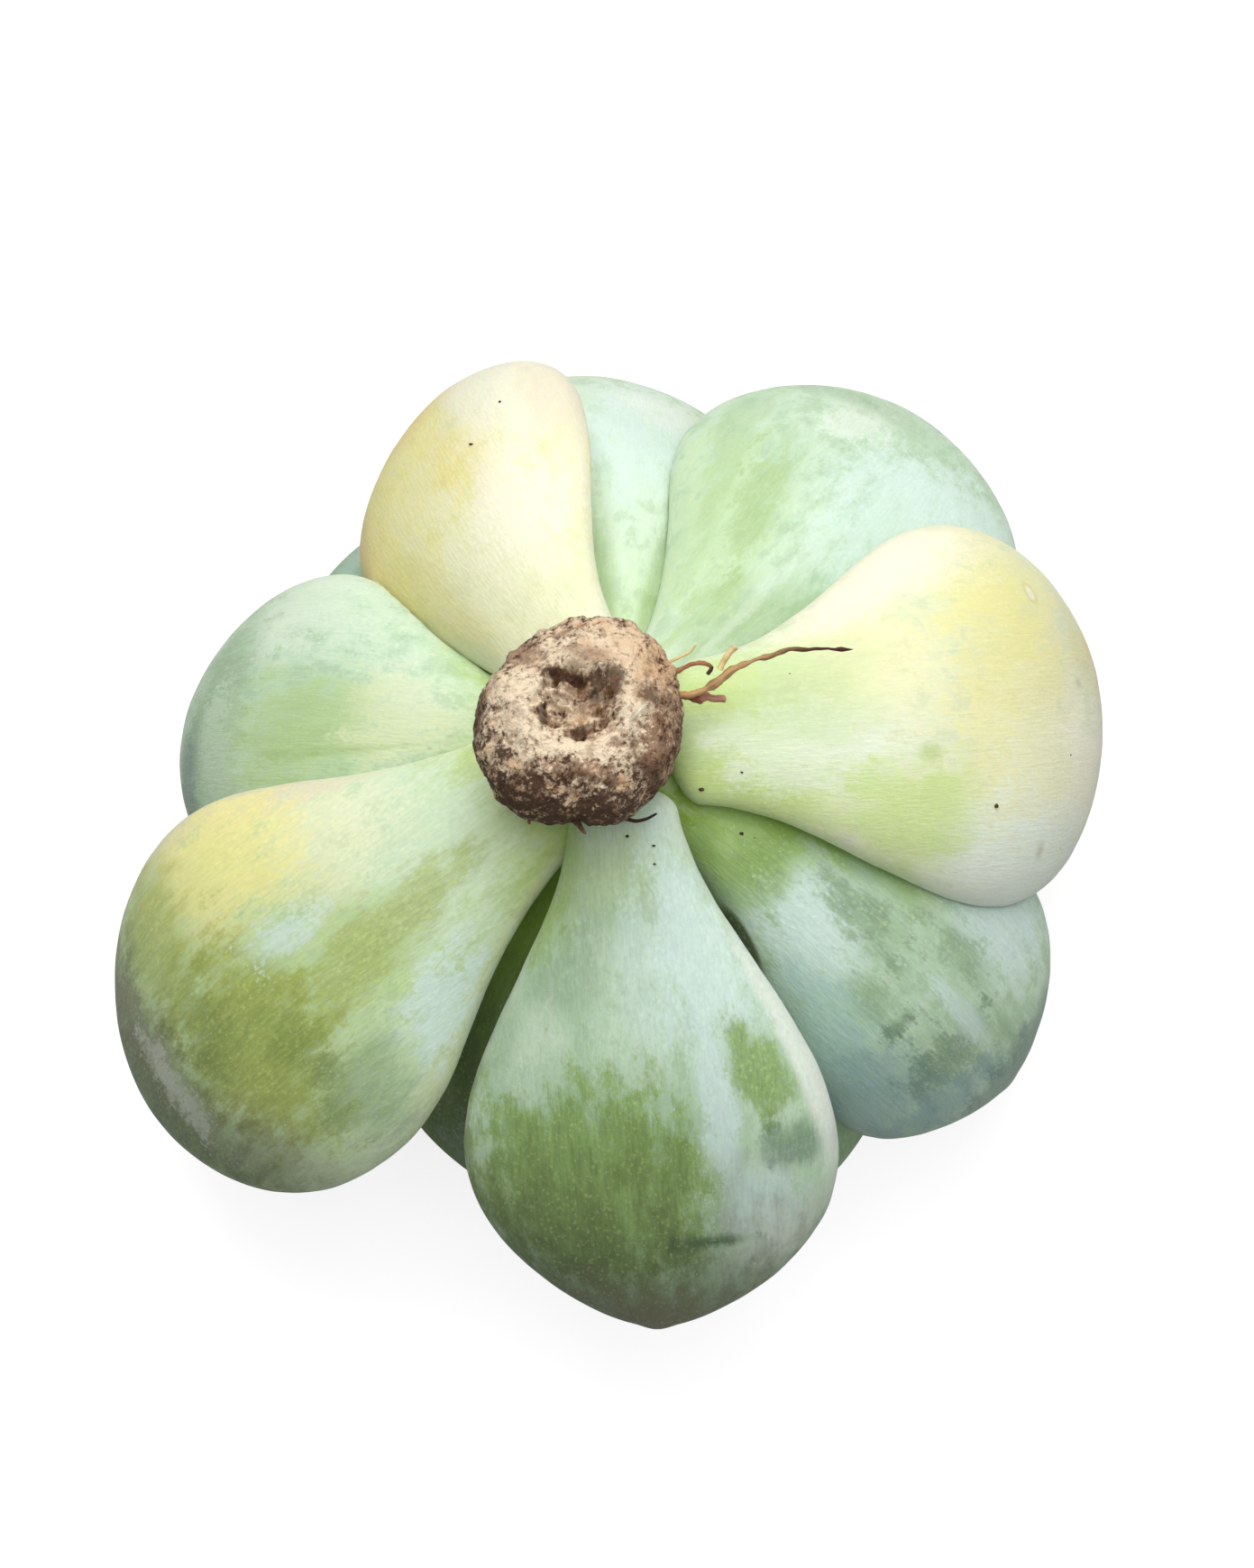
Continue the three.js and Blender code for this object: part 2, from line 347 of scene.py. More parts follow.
class MaterialBench(Bench):
    """The bench of one new material."""

    def __init__(self, name: str) -> None:
        """Make an empty material."""
        self.material = bpy.data.materials.new(name)
        self.material.use_nodes = True
        super().__init__(self.material.node_tree)
        self.tree.nodes.clear()

    def cover(self, piece: bpy.types.Object, shader: bpy.types.Node) -> None:
        """Join a shader to the material's output and put the material on a piece."""
        self.put("ShaderNodeOutputMaterial", {"Surface": shader.outputs[0]})
        piece.data.materials.append(self.material)

    def finish(
        self, piece: bpy.types.Object, surface: dict, height: Socket, depth: float, strength: float
    ) -> None:
        """Give a piece a surface with fine relief.

        Args:
            piece: The piece.
            surface: The shader's inputs.
            height: The relief.
            depth: How deep it is, in metres.
            strength: How strongly it shows.
        """
        relief = {"Height": height, "Distance": depth, "Strength": strength}
        normal = self.put("ShaderNodeBump", relief).outputs[0]
        self.cover(piece, self.put("ShaderNodeBsdfPrincipled", surface | {"Normal": normal}))


def open_group(
    name: str, vectors: tuple[str, ...], floats: tuple[str, ...] = ()
) -> tuple[Bench, dict[str, Socket]]:
    """Start a shader node group.

    Args:
        name: Name of the group.
        vectors: Names of its vector inputs.
        floats: Names of its plain inputs.

    Returns:
        The group's bench and its inputs by name.
    """
    tree = bpy.data.node_groups.new(name, "ShaderNodeTree")
    for label in vectors + floats:
        kind = VECTOR if label in vectors else FLOAT
        tree.interface.new_socket(label, in_out="INPUT", socket_type=kind)
    bench = Bench(tree)
    entry = bench.put("NodeGroupInput")
    return bench, {label: entry.outputs[label] for label in vectors + floats}


@dataclass(frozen=True)
class SharedEffects:
    """The node groups that several finishes use, each built once."""

    patch: bpy.types.NodeTree
    skin: bpy.types.NodeTree
    crust: bpy.types.NodeTree

    @staticmethod
    def soft_patch() -> bpy.types.NodeTree:
        """Build the group that masks one soft, ragged oval.

        The distance from the centre is measured in radii after turning, and the mask falls from 1
        to 0 about a distance of 1, over the softness, with the grain moving its edge in and out.

        Returns:
            The group.
        """
        floats = ("Turn", "Grain", "Ragged", "Soft", "Strength")
        bench, given = open_group("soft_patch", ("Place", "Centre", "Radii"), floats)
        away = bench.vector("SUBTRACT", given["Place"], given["Centre"])
        turning = {"Vector": away, "Angle": given["Turn"]}
        turned = bench.put("ShaderNodeVectorRotate", turning, rotation_type="Z_AXIS").outputs[0]
        distance = bench.length(bench.vector("DIVIDE", turned, given["Radii"]))
        rough = bench.sum("MULTIPLY", bench.sum("SUBTRACT", given["Grain"], 0.5), given["Ragged"])
        level = bench.sum("ADD", bench.sum("SUBTRACT", 1.0, distance), rough)
        step = bench.fit(level, bench.sum("MULTIPLY", given["Soft"], -1.0), given["Soft"])
        return bench.give({"Mask": bench.sum("MULTIPLY", step, given["Strength"])})

    @staticmethod
    def skin_grain() -> bpy.types.NodeTree:
        """Build the group for leaf skin.

        Fibre is a noise drawn out along the leaf, Grain fine pebbles and specks, Fingers a broad one
        whose edges run along the leaf, Cloud the widest, Mottle one in between, and Dust the
        brightest specks.

        Returns:
            The group.
        """
        bench, given = open_group("skin_grain", ("Skin",))
        drawn_out, long_oval, oval, nearly_round = (
            bench.vector("MULTIPLY", given["Skin"], (1.0, stretch, 1.0)) for stretch in (0.11, 0.3, 0.6, 0.8)
        )
        cells = {"Vector": nearly_round, "Scale": 2.1, "Smoothness": 0.35, "Randomness": 1.0}
        pebbles = bench.put("ShaderNodeTexVoronoi", cells, feature="SMOOTH_F1").outputs["Distance"]
        pebbled = bench.fit(pebbles, 0.1, 0.62, 1.0, 0.0)
        speckled = bench.fit(bench.noise(oval, 3.4, 3.0, 0.7), 0.32, 0.68)
        return bench.give({
            "Fibre": bench.fit(bench.noise(drawn_out, 3.6, 2.0, 0.6), 0.25, 0.75),
            "Grain": bench.weigh((pebbled, 0.4), (speckled, 0.6)),
            "Fingers": bench.fit(bench.noise(long_oval, 0.42, 5.0, 0.6), 0.3, 0.7),
            "Cloud": bench.fit(bench.noise(oval, 0.12, 4.0, 0.55), 0.3, 0.7),
            "Dust": bench.fit(bench.noise(given["Skin"], 3.6, 1.0, 0.4), 0.66, 0.76),
            "Mottle": bench.fit(bench.noise(oval, 0.55, 7.0, 0.68), 0.36, 0.64),
        })

    @staticmethod
    def dry_crust() -> bpy.types.NodeTree:
        """Build the group for dry cork and root skin: blotches, cracks, crumbs, wrinkles and specks."""
        bench, given = open_group("dry_crust", ("Place",))
        place = given["Place"]
        upright = bench.vector("MULTIPLY", place, (1.0, 1.0, 0.3))
        moved = bench.vector("ADD", place, bench.noise(place, 1.2, 2.0))
        cells = {"Vector": moved, "Scale": 1.1, "Randomness": 1.0}
        edge = bench.put("ShaderNodeTexVoronoi", cells, feature="DISTANCE_TO_EDGE").outputs["Distance"]
        return bench.give({
            "Blotch": bench.noise(place, 0.75, 6.0, 0.65),
            "Crack": bench.fit(edge, 0.0, 0.13, 1.0, 0.0),
            "Crumb": bench.noise(place, 3.2, 4.0, 0.7),
            "Wrinkle": bench.noise(upright, 1.7, 3.0, 0.6),
            "Speck": bench.noise(moved, 1.5, 5.0, 0.7),
        })

    @classmethod
    def build(cls) -> "SharedEffects":
        """Build every shared group."""
        return cls(cls.soft_patch(), cls.skin_grain(), cls.dry_crust())


@dataclass(frozen=True)
class Wash:
    """One soft patch of colour.

    On a leaf, across runs from -1 to 1 and along from 0 to 1, and the radii are shares of its
    length. On the stump, all four are millimetres. The turn is in degrees.
    """

    tint: Tint
    across: float
    along: float
    wide: float
    long: float
    strength: float = 0.8
    soft: float = 0.55
    ragged: float = 1.2
    turn: float = 0.0

    def mask(
        self,
        bench: Bench,
        patch: bpy.types.NodeTree,
        place: Socket,
        grain: Socket,
        aspect: float,
        tearing: float,
    ) -> Socket:
        """Add this patch's mask.

        Args:
            bench: Where the nodes go.
            patch: The shared soft patch.
            place: Where each point lies.
            grain: What moves the patch's edge in and out.
            aspect: What one unit across is on the scale of the radii.
            tearing: How many times the patch's own raggedness its edge is moved.

        Returns:
            The mask.
        """
        settings = {
            "Place": place,
            "Centre": (self.across * aspect, self.along, 0.0),
            "Radii": (self.wide, self.long, 1.0),
            "Turn": math.radians(self.turn),
            "Grain": grain,
            "Ragged": self.ragged * tearing,
            "Soft": self.soft,
            "Strength": self.strength,
        }
        return bench.use(patch, settings)[0]


def washes(*rows: tuple) -> tuple[Wash, ...]:
    """Make a patch of colour from each row of its sizes, in the order they are laid."""
    return tuple(Wash(*row) for row in rows)


@dataclass(frozen=True)
class LeafFinish:
    """Waxy leaf skin under powdery bloom, with the patches of colour that one leaf shows."""

    ground: Tint
    base: Tint
    rim: Tint
    washes: tuple[Wash, ...]
    stipple: float = 0.14
    patchy: float = 0.35

    ASPECT = 0.3
    DUST = 0.2
    BARE_AND_SHADE_TINTS = (Tint.LEAF, Tint.MEADOW, Tint.OLIVE, Tint.SAGE, Tint.DEEP, Tint.MOSS)

    def dress(self, piece: bpy.types.Object, effects: SharedEffects) -> None:
        """Make this finish for one leaf and put it on.

        The ground colour turns to the base colour near the stem and the rim colour at the margins.
        The washes go over it in order, then the pores, fibres and dust of the skin. Where a wash in a green
        tint lies, whether it bares the skin or paints shade, its speckle is stronger.

        Args:
            piece: The leaf, whose points carry their place and their skin position.
            effects: The shared node groups.
        """
        bench = MaterialBench(f"{piece.name}_finish")
        place = bench.mark("leaf_place")
        skin = {"Skin": bench.mark("leaf_skin")}
        fibre, fine, fingers, cloud, dust, mottle = bench.use(effects.skin, skin)
        across, along, _ = bench.split(place)
        colour = bench.coats(
            self.ground,
            (bench.fit(bench.weigh((along, 1.0), (fingers, 0.06)), 0.1, 0.36, 1.0, 0.0), self.base),
            (bench.fit(bench.sum("ABSOLUTE", across), 0.84, 1.0, 0.0, 0.5), self.rim),
            (bench.fit(cloud, 0.35, 1.0, 0.0, 0.4), Tint.PALE_MINT),
            (bench.fit(mottle, 0.5, 1.0, 0.0, 0.6 * self.patchy), Tint.CHALK),
            (bench.fit(mottle, 0.0, 0.45, 0.6 * self.patchy, 0.0), Tint.SAGE),
        )
        edge = bench.weigh((fine, 0.30), (mottle, 0.32), (fingers, 0.38))
        even = bench.vector("MULTIPLY", place, (self.ASPECT, 1.0, 0.0))
        # The mask of the washes in green tints: skin bared of its bloom, and in places painted shade.
        bared_and_shaded = 0.0
        for wash in self.washes:
            mask = wash.mask(bench, effects.patch, even, edge, self.ASPECT, 1.0)
            colour = bench.blend(mask, colour, wash.tint)
            if wash.tint in self.BARE_AND_SHADE_TINTS:
                bared_and_shaded = bench.sum("MAXIMUM", bared_and_shaded, mask)
            else:
                bared_and_shaded = bench.sum("MULTIPLY", bared_and_shaded, bench.sum("SUBTRACT", 1.0, mask))
        speckle = bench.weigh((fine, 0.55), (fibre, 0.45))
        strength = bench.fit(bared_and_shaded, 0.0, 1.0, 1.2 * self.stipple, 3.2 * self.stipple)
        level = bench.sum("MULTIPLY_ADD", bench.sum("SUBTRACT", speckle, 0.58), strength, 1.0)
        shade = bench.put("ShaderNodeCombineColor", {0: level, 1: level, 2: level}).outputs[0]
        colour = bench.coats(
            bench.blend(1.0, colour, shade, "MULTIPLY"),
            (bench.sum("MULTIPLY", bench.fit(fine, 0.5, 0.9, 0.0, 0.3), bared_and_shaded), Tint.PALE_LIME),
            (bench.sum("MULTIPLY", dust, self.DUST), Tint.CHALK),
        )
        surface = {
            "Base Color": colour,
            "Roughness": bench.fit(fingers, 0.0, 1.0, 0.5, 0.68),
            "Specular IOR Level": 0.35,
            "Subsurface Weight": 0.3,
            "Subsurface Radius": (0.7, 1.0, 0.35),
            "Subsurface Scale": 0.004,
            "Sheen Weight": 0.15,
            "Sheen Roughness": 0.6,
        }
        bench.finish(piece, surface, bench.weigh((fibre, 0.6), (fine, 0.5)), 0.00006, 0.6)


@dataclass(frozen=True)
class CorkFinish:
    """Dry healed callus: cream cork over brown, with painted shade in its hollows, and darker in worn
    patches.
    """

    washes: tuple[Wash, ...]

    TEARING = 3.0

    def dress(self, piece: bpy.types.Object, effects: SharedEffects) -> None:
        """Make this finish and put it on the stump.

        Dark spots stand where the crust's grain is strongest. They crowd towards the rim, the lower
        side and the pit, and thin out in one calm patch.

        Args:
            piece: The stump, whose points carry their place, and hollow (where shade is painted), height and
                pit.
            effects: The shared node groups.
        """
        bench = MaterialBench(f"{piece.name}_finish")
        place = bench.mark("cork_place")
        hollow, tall, in_pit = bench.split(bench.mark("cork_form"))
        blotch, crack, crumb, wrinkle, speck = bench.use(effects.crust, {"Place": place})
        rough = bench.weigh((blotch, 0.3), (crumb, 0.25), (speck, 0.45))
        colour = bench.blend(bench.fit(blotch, 0.32, 0.54), Tint.CORK_TAN, Tint.CORK_CREAM)
        for wash in self.washes:
            mask = wash.mask(bench, effects.patch, place, rough, 1.0, self.TEARING)
            colour = bench.blend(mask, colour, wash.tint)
        east, north, _ = bench.split(place)
        rim = bench.fit(bench.length(place), 4.8, 8.8, 0.0, 0.065)
        lower = bench.fit(bench.weigh((east, -0.2), (north, -1.0)), 2.0, 9.0, 0.0, 0.055)
        calm_patch = {
            "Place": place,
            "Centre": (5.0, 5.0, 0.0),
            "Radii": (3.4, 4.0, 1.0),
            "Turn": -0.8,
            "Grain": rough,
            "Ragged": 0.5,
            "Soft": 0.5,
            "Strength": 0.03,
        }
        calm = bench.use(effects.patch, calm_patch)[0]
        spotty = bench.weigh((rough, 1.0), (rim, 1.0), (lower, 1.0), (calm, -1.0), (in_pit, 1.0))
        colour = bench.coats(
            colour,
            # Painted shade: the cork is browned where its points lie deep in the hollows of the lumps and
            # the pit.
            (bench.fit(bench.weigh((hollow, 1.0), (crumb, 0.5)), 0.8, 1.35, 0.0, 0.7), Tint.CORK_BROWN),
            (bench.fit(spotty, 0.50, 0.58, 0.0, 0.6), Tint.CORK_BROWN),
            (bench.fit(spotty, 0.565, 0.605, 0.0, 0.9), Tint.CORK_DARK),
            (bench.fit(crumb, 0.6, 0.72, 0.0, 0.5), Tint.CORK_BROWN),
            (bench.fit(bench.weigh((tall, 1.0), (wrinkle, 1.5)), 45.5, 48.0, 1.0, 0.0), Tint.PALE_LIME),
        )
        roughness = bench.fit(crumb, 0.3, 0.7, 0.75, 0.95)
        surface = {"Base Color": colour, "Roughness": roughness, "Specular IOR Level": 0.25}
        height = bench.weigh((crumb, 0.8), (wrinkle, 0.6), (crack, -0.25))
        bench.finish(piece, surface, height, 0.0002, 0.8)


@dataclass(frozen=True)
class RootFinish:
    """Wrinkled dry root that changes colour from its start to its end."""

    start: Tint
    end: Tint
    turn_at: float = 0.5

    TURN_LENGTH = 0.35

    def dress(self, piece: bpy.types.Object, effects: SharedEffects) -> None:
        """Make this finish and put it on a root, whose points carry their share along it."""
        bench = MaterialBench(f"{piece.name}_finish")
        along = bench.split(bench.mark("root_form"))[0]
        skin = {"Place": bench.mark("root_skin")}
        blotch, _, crumb, wrinkle, _ = bench.use(effects.crust, skin)
        drift = bench.weigh((along, 1.0), (blotch, 0.3))
        colour = bench.coats(
            self.start,
            (bench.fit(drift, self.turn_at, self.turn_at + self.TURN_LENGTH), self.end),
            (bench.fit(wrinkle, 0.45, 0.7, 0.0, 0.4), Tint.ROOT_DARK),
            (bench.fit(crumb, 0.55, 0.75, 0.0, 0.35), Tint.ROOT_STRAW),
        )
        surface = {
            "Base Color": colour,
            "Roughness": bench.fit(crumb, 0.3, 0.7, 0.6, 0.85),
            "Specular IOR Level": 0.3,
            "Subsurface Weight": 0.1,
            "Subsurface Radius": (1.0, 0.6, 0.3),
            "Subsurface Scale": 0.0006,
        }
        bench.finish(piece, surface, bench.weigh((wrinkle, 0.7), (crumb, 0.5)), 0.00012, 0.8)


@dataclass(frozen=True)
class SoilFinish:
    """Dry dark soil."""

    dark: Tint = Tint.SOIL
    light: Tint = Tint.CORK_BROWN

    def dress(self, piece: bpy.types.Object, effects: SharedEffects) -> None:
        """Make this finish and put it on the soil crumbs."""
        bench = MaterialBench("soil_finish")
        place = bench.put("ShaderNodeTexCoord").outputs["Object"]
        large = bench.vector("MULTIPLY", place, (1.0 / MM, 1.0 / MM, 1.0 / MM))
        blotch, _, crumb, _, _ = bench.use(effects.crust, {"Place": large})
        surface = {
            "Base Color": bench.blend(bench.fit(crumb, 0.4, 0.7, 0.0, 0.6), self.dark, self.light),
            "Roughness": bench.fit(blotch, 0.3, 0.7, 0.8, 0.95),
        }
        bench.finish(piece, surface, crumb, 0.0001, 0.7)


# ---------------- stump


@dataclass(frozen=True)
class Stump:
    """The stem, with the swollen, healed knob where it was cut from its roots."""

    profile: tuple[tuple[float, float], ...] = (
        (0.0, 14.0), (0.8, 16.5), (1.6, 24.0), (2.6, 34.0), (3.6, 42.0), (4.6, 45.5), (5.8, 46.6),
        (7.4, 48.2), (8.4, 50.2), (8.6, 52.0), (8.1, 54.0), (6.9, 55.8), (5.3, 56.9), (3.9, 57.1),
        (2.8, 56.4), (1.5, 55.4), (0.0, 55.0),
    )
    lean: tuple[float, float] = (-2.9, -1.6)
    lean_heights: tuple[float, float] = (42.0, 50.0)
    knob_radius: float = 8.6
    outline: tuple[float, ...] = (8.8, 9.4, 9.9, 9.4, 8.3, 8.4, 8.6, 8.9, 9.1, 8.8, 9.2, 8.6)
    pit: Vector3 = (0.2, 0.2, 3.2)
    rows: int = 230
    columns: int = 340
    name: str = "stem_skin"

    STEM_SHARE = 0.42
    SMOOTHING = 61
    CROWN_LIMIT = 57.9

    def radius_at(self, height: np.ndarray) -> np.ndarray:
        """Read the plain radius at heights below the knob's widest."""
        radii, heights = np.array(self.profile[:10]).T
        return np.interp(height, heights, radii)

    def shift_at(self, height: np.ndarray) -> np.ndarray:
        """How far the axis stands off, in x and y, at some heights."""
        share = smoothstep(*self.lean_heights, height)
        return share[..., None] * np.array(self.lean)

    def holds(self, points: np.ndarray, growth: float) -> np.ndarray:
        """Tell which points lie within the stump grown by a gap.

        Args:
            points: Points in millimetres.
            growth: The gap.

        Returns:
            True for each point inside.
        """
        flat = points[..., :2] - self.shift_at(points[..., 2])
        radii, heights = np.array(self.profile[:13]).T
        reach = np.interp(points[..., 2], heights, radii, left=-1e3, right=-1e3)
        return np.linalg.norm(flat, axis=-1) < reach + growth

    def surface(self) -> tuple[np.ndarray, dict[str, np.ndarray]]:
        """Work out the stump's rings.

        The profile is turned about the leaning axis. Round the knob, its radius follows the twelve
        outline radii, joined smoothly. Lumps of three sizes push it in and out, and a ragged pit
        sinks the middle of the cut.

        Returns:
            The rings of points, and the marks for the finish.
        """
        radii, heights = np.array(self.profile).T
        steps = np.concatenate([[0.0], np.cumsum(np.hypot(np.diff(radii), np.diff(heights)))])
        share = np.linspace(0.0, 1.0, 4 * self.rows)
        fine = np.interp(share, [0, self.STEM_SHARE, 1], [0, steps[5], steps[-1]])
        raw = np.stack([np.interp(fine, steps, radii), np.interp(fine, steps, heights)])
        weights = np.hanning(self.SMOOTHING) / np.hanning(self.SMOOTHING).sum()
        reach = self.SMOOTHING // 2
        padded = np.pad(raw, ((0, 0), (reach, reach)), mode="reflect", reflect_type="odd")
        smooth = np.stack([np.convolve(line, weights, mode="valid") for line in padded])
        radius, height = smooth[:, 2 :: 4]
        radius = np.maximum(radius, 0.02)
        turn = np.linspace(0.0, 2.0 * np.pi, self.columns, endpoint=False)
        outline = np.array(self.outline) / self.knob_radius
        waves = np.fft.rfft(outline) / len(outline)
        orders = np.arange(len(waves))
        twice = np.where(orders == 0, 1.0, 2.0)
        lobes = (twice[:, None] * waves[:, None] * np.exp(1j * orders[:, None] * turn)).real.sum(0)
        knob = smoothstep(46.5, 51.0, height)[:, None]
        spread = radius[:, None] * (1.0 + knob * (lobes[None] - 1.0))
        centre = self.shift_at(height)
        flat = np.stack([spread * np.cos(turn), spread * np.sin(turn)], axis=-1)
        tall = np.broadcast_to(height[:, None], spread.shape)
        points = np.concatenate([flat + centre[:, None], tall[..., None]], axis=-1)
        local = np.concatenate([flat, tall[..., None]], axis=-1)
        return self.roughen(points, local, knob)

    def roughen(
        self, points: np.ndarray, local: np.ndarray, knob: np.ndarray
    ) -> tuple[np.ndarray, dict[str, np.ndarray]]:
        """Push the knob in and out by lumps and sink the pit.

        Args:
            points: The rings of points.
            local: The same points about the knob's own axis.
            knob: How much of the lumps each ring takes.

        Returns:
            The moved points, and the marks for the finish.
        """
        pit_x, pit_y, pit_size = self.pit
        top = smoothstep(54.0, 56.2, local[..., 2])
        warp = Lumps(11).field(local, 2.2, 2)
        away = np.hypot(local[..., 0] - pit_x, (local[..., 1] - pit_y) * 1.05) / pit_size
        bowl = smoothstep(1.15, 0.75, away + 0.38 * warp) * top
        ridge = np.exp(-(((away - 1.3 + 0.2 * warp) / 0.3) ** 2)) * top
        broad = Lumps(3).field(local * (1.0, 1.0, 0.6), 3.4, 2)
        small = Lumps(5).field(local * (1.0, 1.0, 0.55), 1.1, 3)
        grit = Lumps(7).field(local, 0.42, 2)
        rise = top[..., None]
        out = unit(np.concatenate([local[..., :2] * (1.0 - 0.75 * rise), rise * 4.0], axis=-1))
        lift = 0.34 * broad + 0.24 * small + 0.08 * grit + 0.28 * ridge
        floor = bowl * (0.6 - 1.0 * small - 0.35 * grit)
        moved = points + out * (lift * knob)[..., None]
        moved[..., 2] -= floor
        moved[..., 2] = np.minimum(moved[..., 2], self.CROWN_LIMIT)
        # How deep each point lies in the lumps' hollows and the pit. The finish paints shade there.
        hollow = np.clip(0.35 - 0.6 * small - 0.35 * grit - 0.25 * broad + 0.15 * bowl, 0.0, 1.0)
        form = np.stack([hollow, local[..., 2], 0.035 * bowl], axis=-1)
        return moved, {"cork_place": local, "cork_form": form}

    def build(self, effects: SharedEffects) -> bpy.types.Object:
        """Build the stump, dress it and let it stand for the stem."""
        rings, marks = self.surface()
        start, end = rings[0].mean(axis=0), rings[-1].mean(axis=0)
        piece = closed_skin(self.name, rings, start, end, marks)
        CORK.dress(piece, effects)
        place_piece(piece, "stem")
        return piece


T = Tint  # a short name for the rows of washes

CORK = CorkFinish(
    washes(
        (T.CORK_CREAM, -3.8, 0.2, 2.8, 4.2, 1, 0.7, 0.5, 20),
        (T.CORK_CREAM, 0.2, -3.4, 4.8, 2, 1, 0.7, 0.5), (T.CORK_CREAM, 3.9, -1.6, 2.2, 2.2, 1, 0.7, 0.5),
        (T.CORK_TAN, 6.6, 5.4, 2.6, 4.6, 0.9, 0.9, 0.4, -45),
        (T.CORK_CREAM, 3.6, 5.9, 3, 1.9, 0.5, 0.9, 0.4, -40),
        (T.CORK_CREAM, -2, 5.4, 2.6, 1.2, 0.7, 0.9, 0.6, 15), (T.CORK_BROWN, 7.6, 0, 1.2, 3, 0.6, 0.6, 1.6),
        (T.CORK_DARK, 8.4, -2.6, 0.9, 3.4, 0.7, 0.6, 1.6, 15),
        (T.CORK_DARK, -0.5, -8.8, 6, 0.8, 0.7, 0.4, 1.8),
        (T.CORK_DARK, -5.8, -6.8, 3, 1.1, 0.85, 0.6, 1.6, -40),
        (T.CORK_DARK, -8.6, -0.8, 0.7, 4.4, 0.85, 0.6, 1.6, 8),
        (T.CORK_DARK, 6.6, -5.6, 3.2, 1.2, 0.9, 0.6, 1.6, 48),
        (T.CORK_BROWN, -5.4, 5.6, 3.6, 1.6, 0.7, 0.4, 1.8, 35),
        (T.CORK_BROWN, 0.2, 0.8, 3, 2.4, 0.4, 0.4, 2.4), (T.CORK_DARK, 1.9, 1.2, 1.2, 1.2, 0.6, 0.5, 2),
        (T.CORK_DARK, -1, 2.7, 2.1, 0.5, 1, 0.3, 1, 8), (T.CORK_DARK, -2.9, -0.6, 0.4, 0.9, 0.8, 0.3, 1),
        (T.CORK_DARK, 0.4, -1.6, 1.6, 0.5, 0.7, 0.3, 1.6, -25),
        (T.CORK_DARK, 1.6, 2.2, 1, 0.8, 0.7, 0.3, 1.6, -30),
        (T.CORK_CREAM, -0.8, 0.4, 1, 0.5, 0.7, 0.4, 1.6, 20),
        (T.CORK_CREAM, -2.2, 1.4, 0.4, 0.9, 0.7, 0.4, 1.6),
        (T.CORK_BROWN, 1, 4.4, 2.2, 0.9, 0.6, 0.7, 2, 10),
        (T.CORK_DARK, 2.9, 2.5, 1.3, 1.1, 0.85, 0.5, 1.6, 30),
        (T.CORK_DARK, 5.9, 1, 1.1, 0.9, 0.85, 0.6, 1.6), (T.CORK_BROWN, 0, -5.6, 3.4, 0.9, 0.7, 0.3, 2.4),
        (T.CORK_BROWN, 6.6, -2.6, 1.2, 2.6, 0.8, 0.3, 2.4),
        (T.CORK_DARK, -3.4, -7, 2, 1.2, 0.6, 0.3, 2.4, -20),
        (T.CORK_DARK, 0.2, -5.8, 0.9, 0.6, 0.6, 0.6, 1.6),
        (T.CORK_DARK, 2.8, -6.2, 0.8, 0.7, 0.6, 0.6, 1.6),
        (T.CORK_BROWN, -2.6, -5, 0.4, 0.5, 0.6, 0.6, 1.6),
    )
)
STUMP = Stump()


# ---------------- leaves


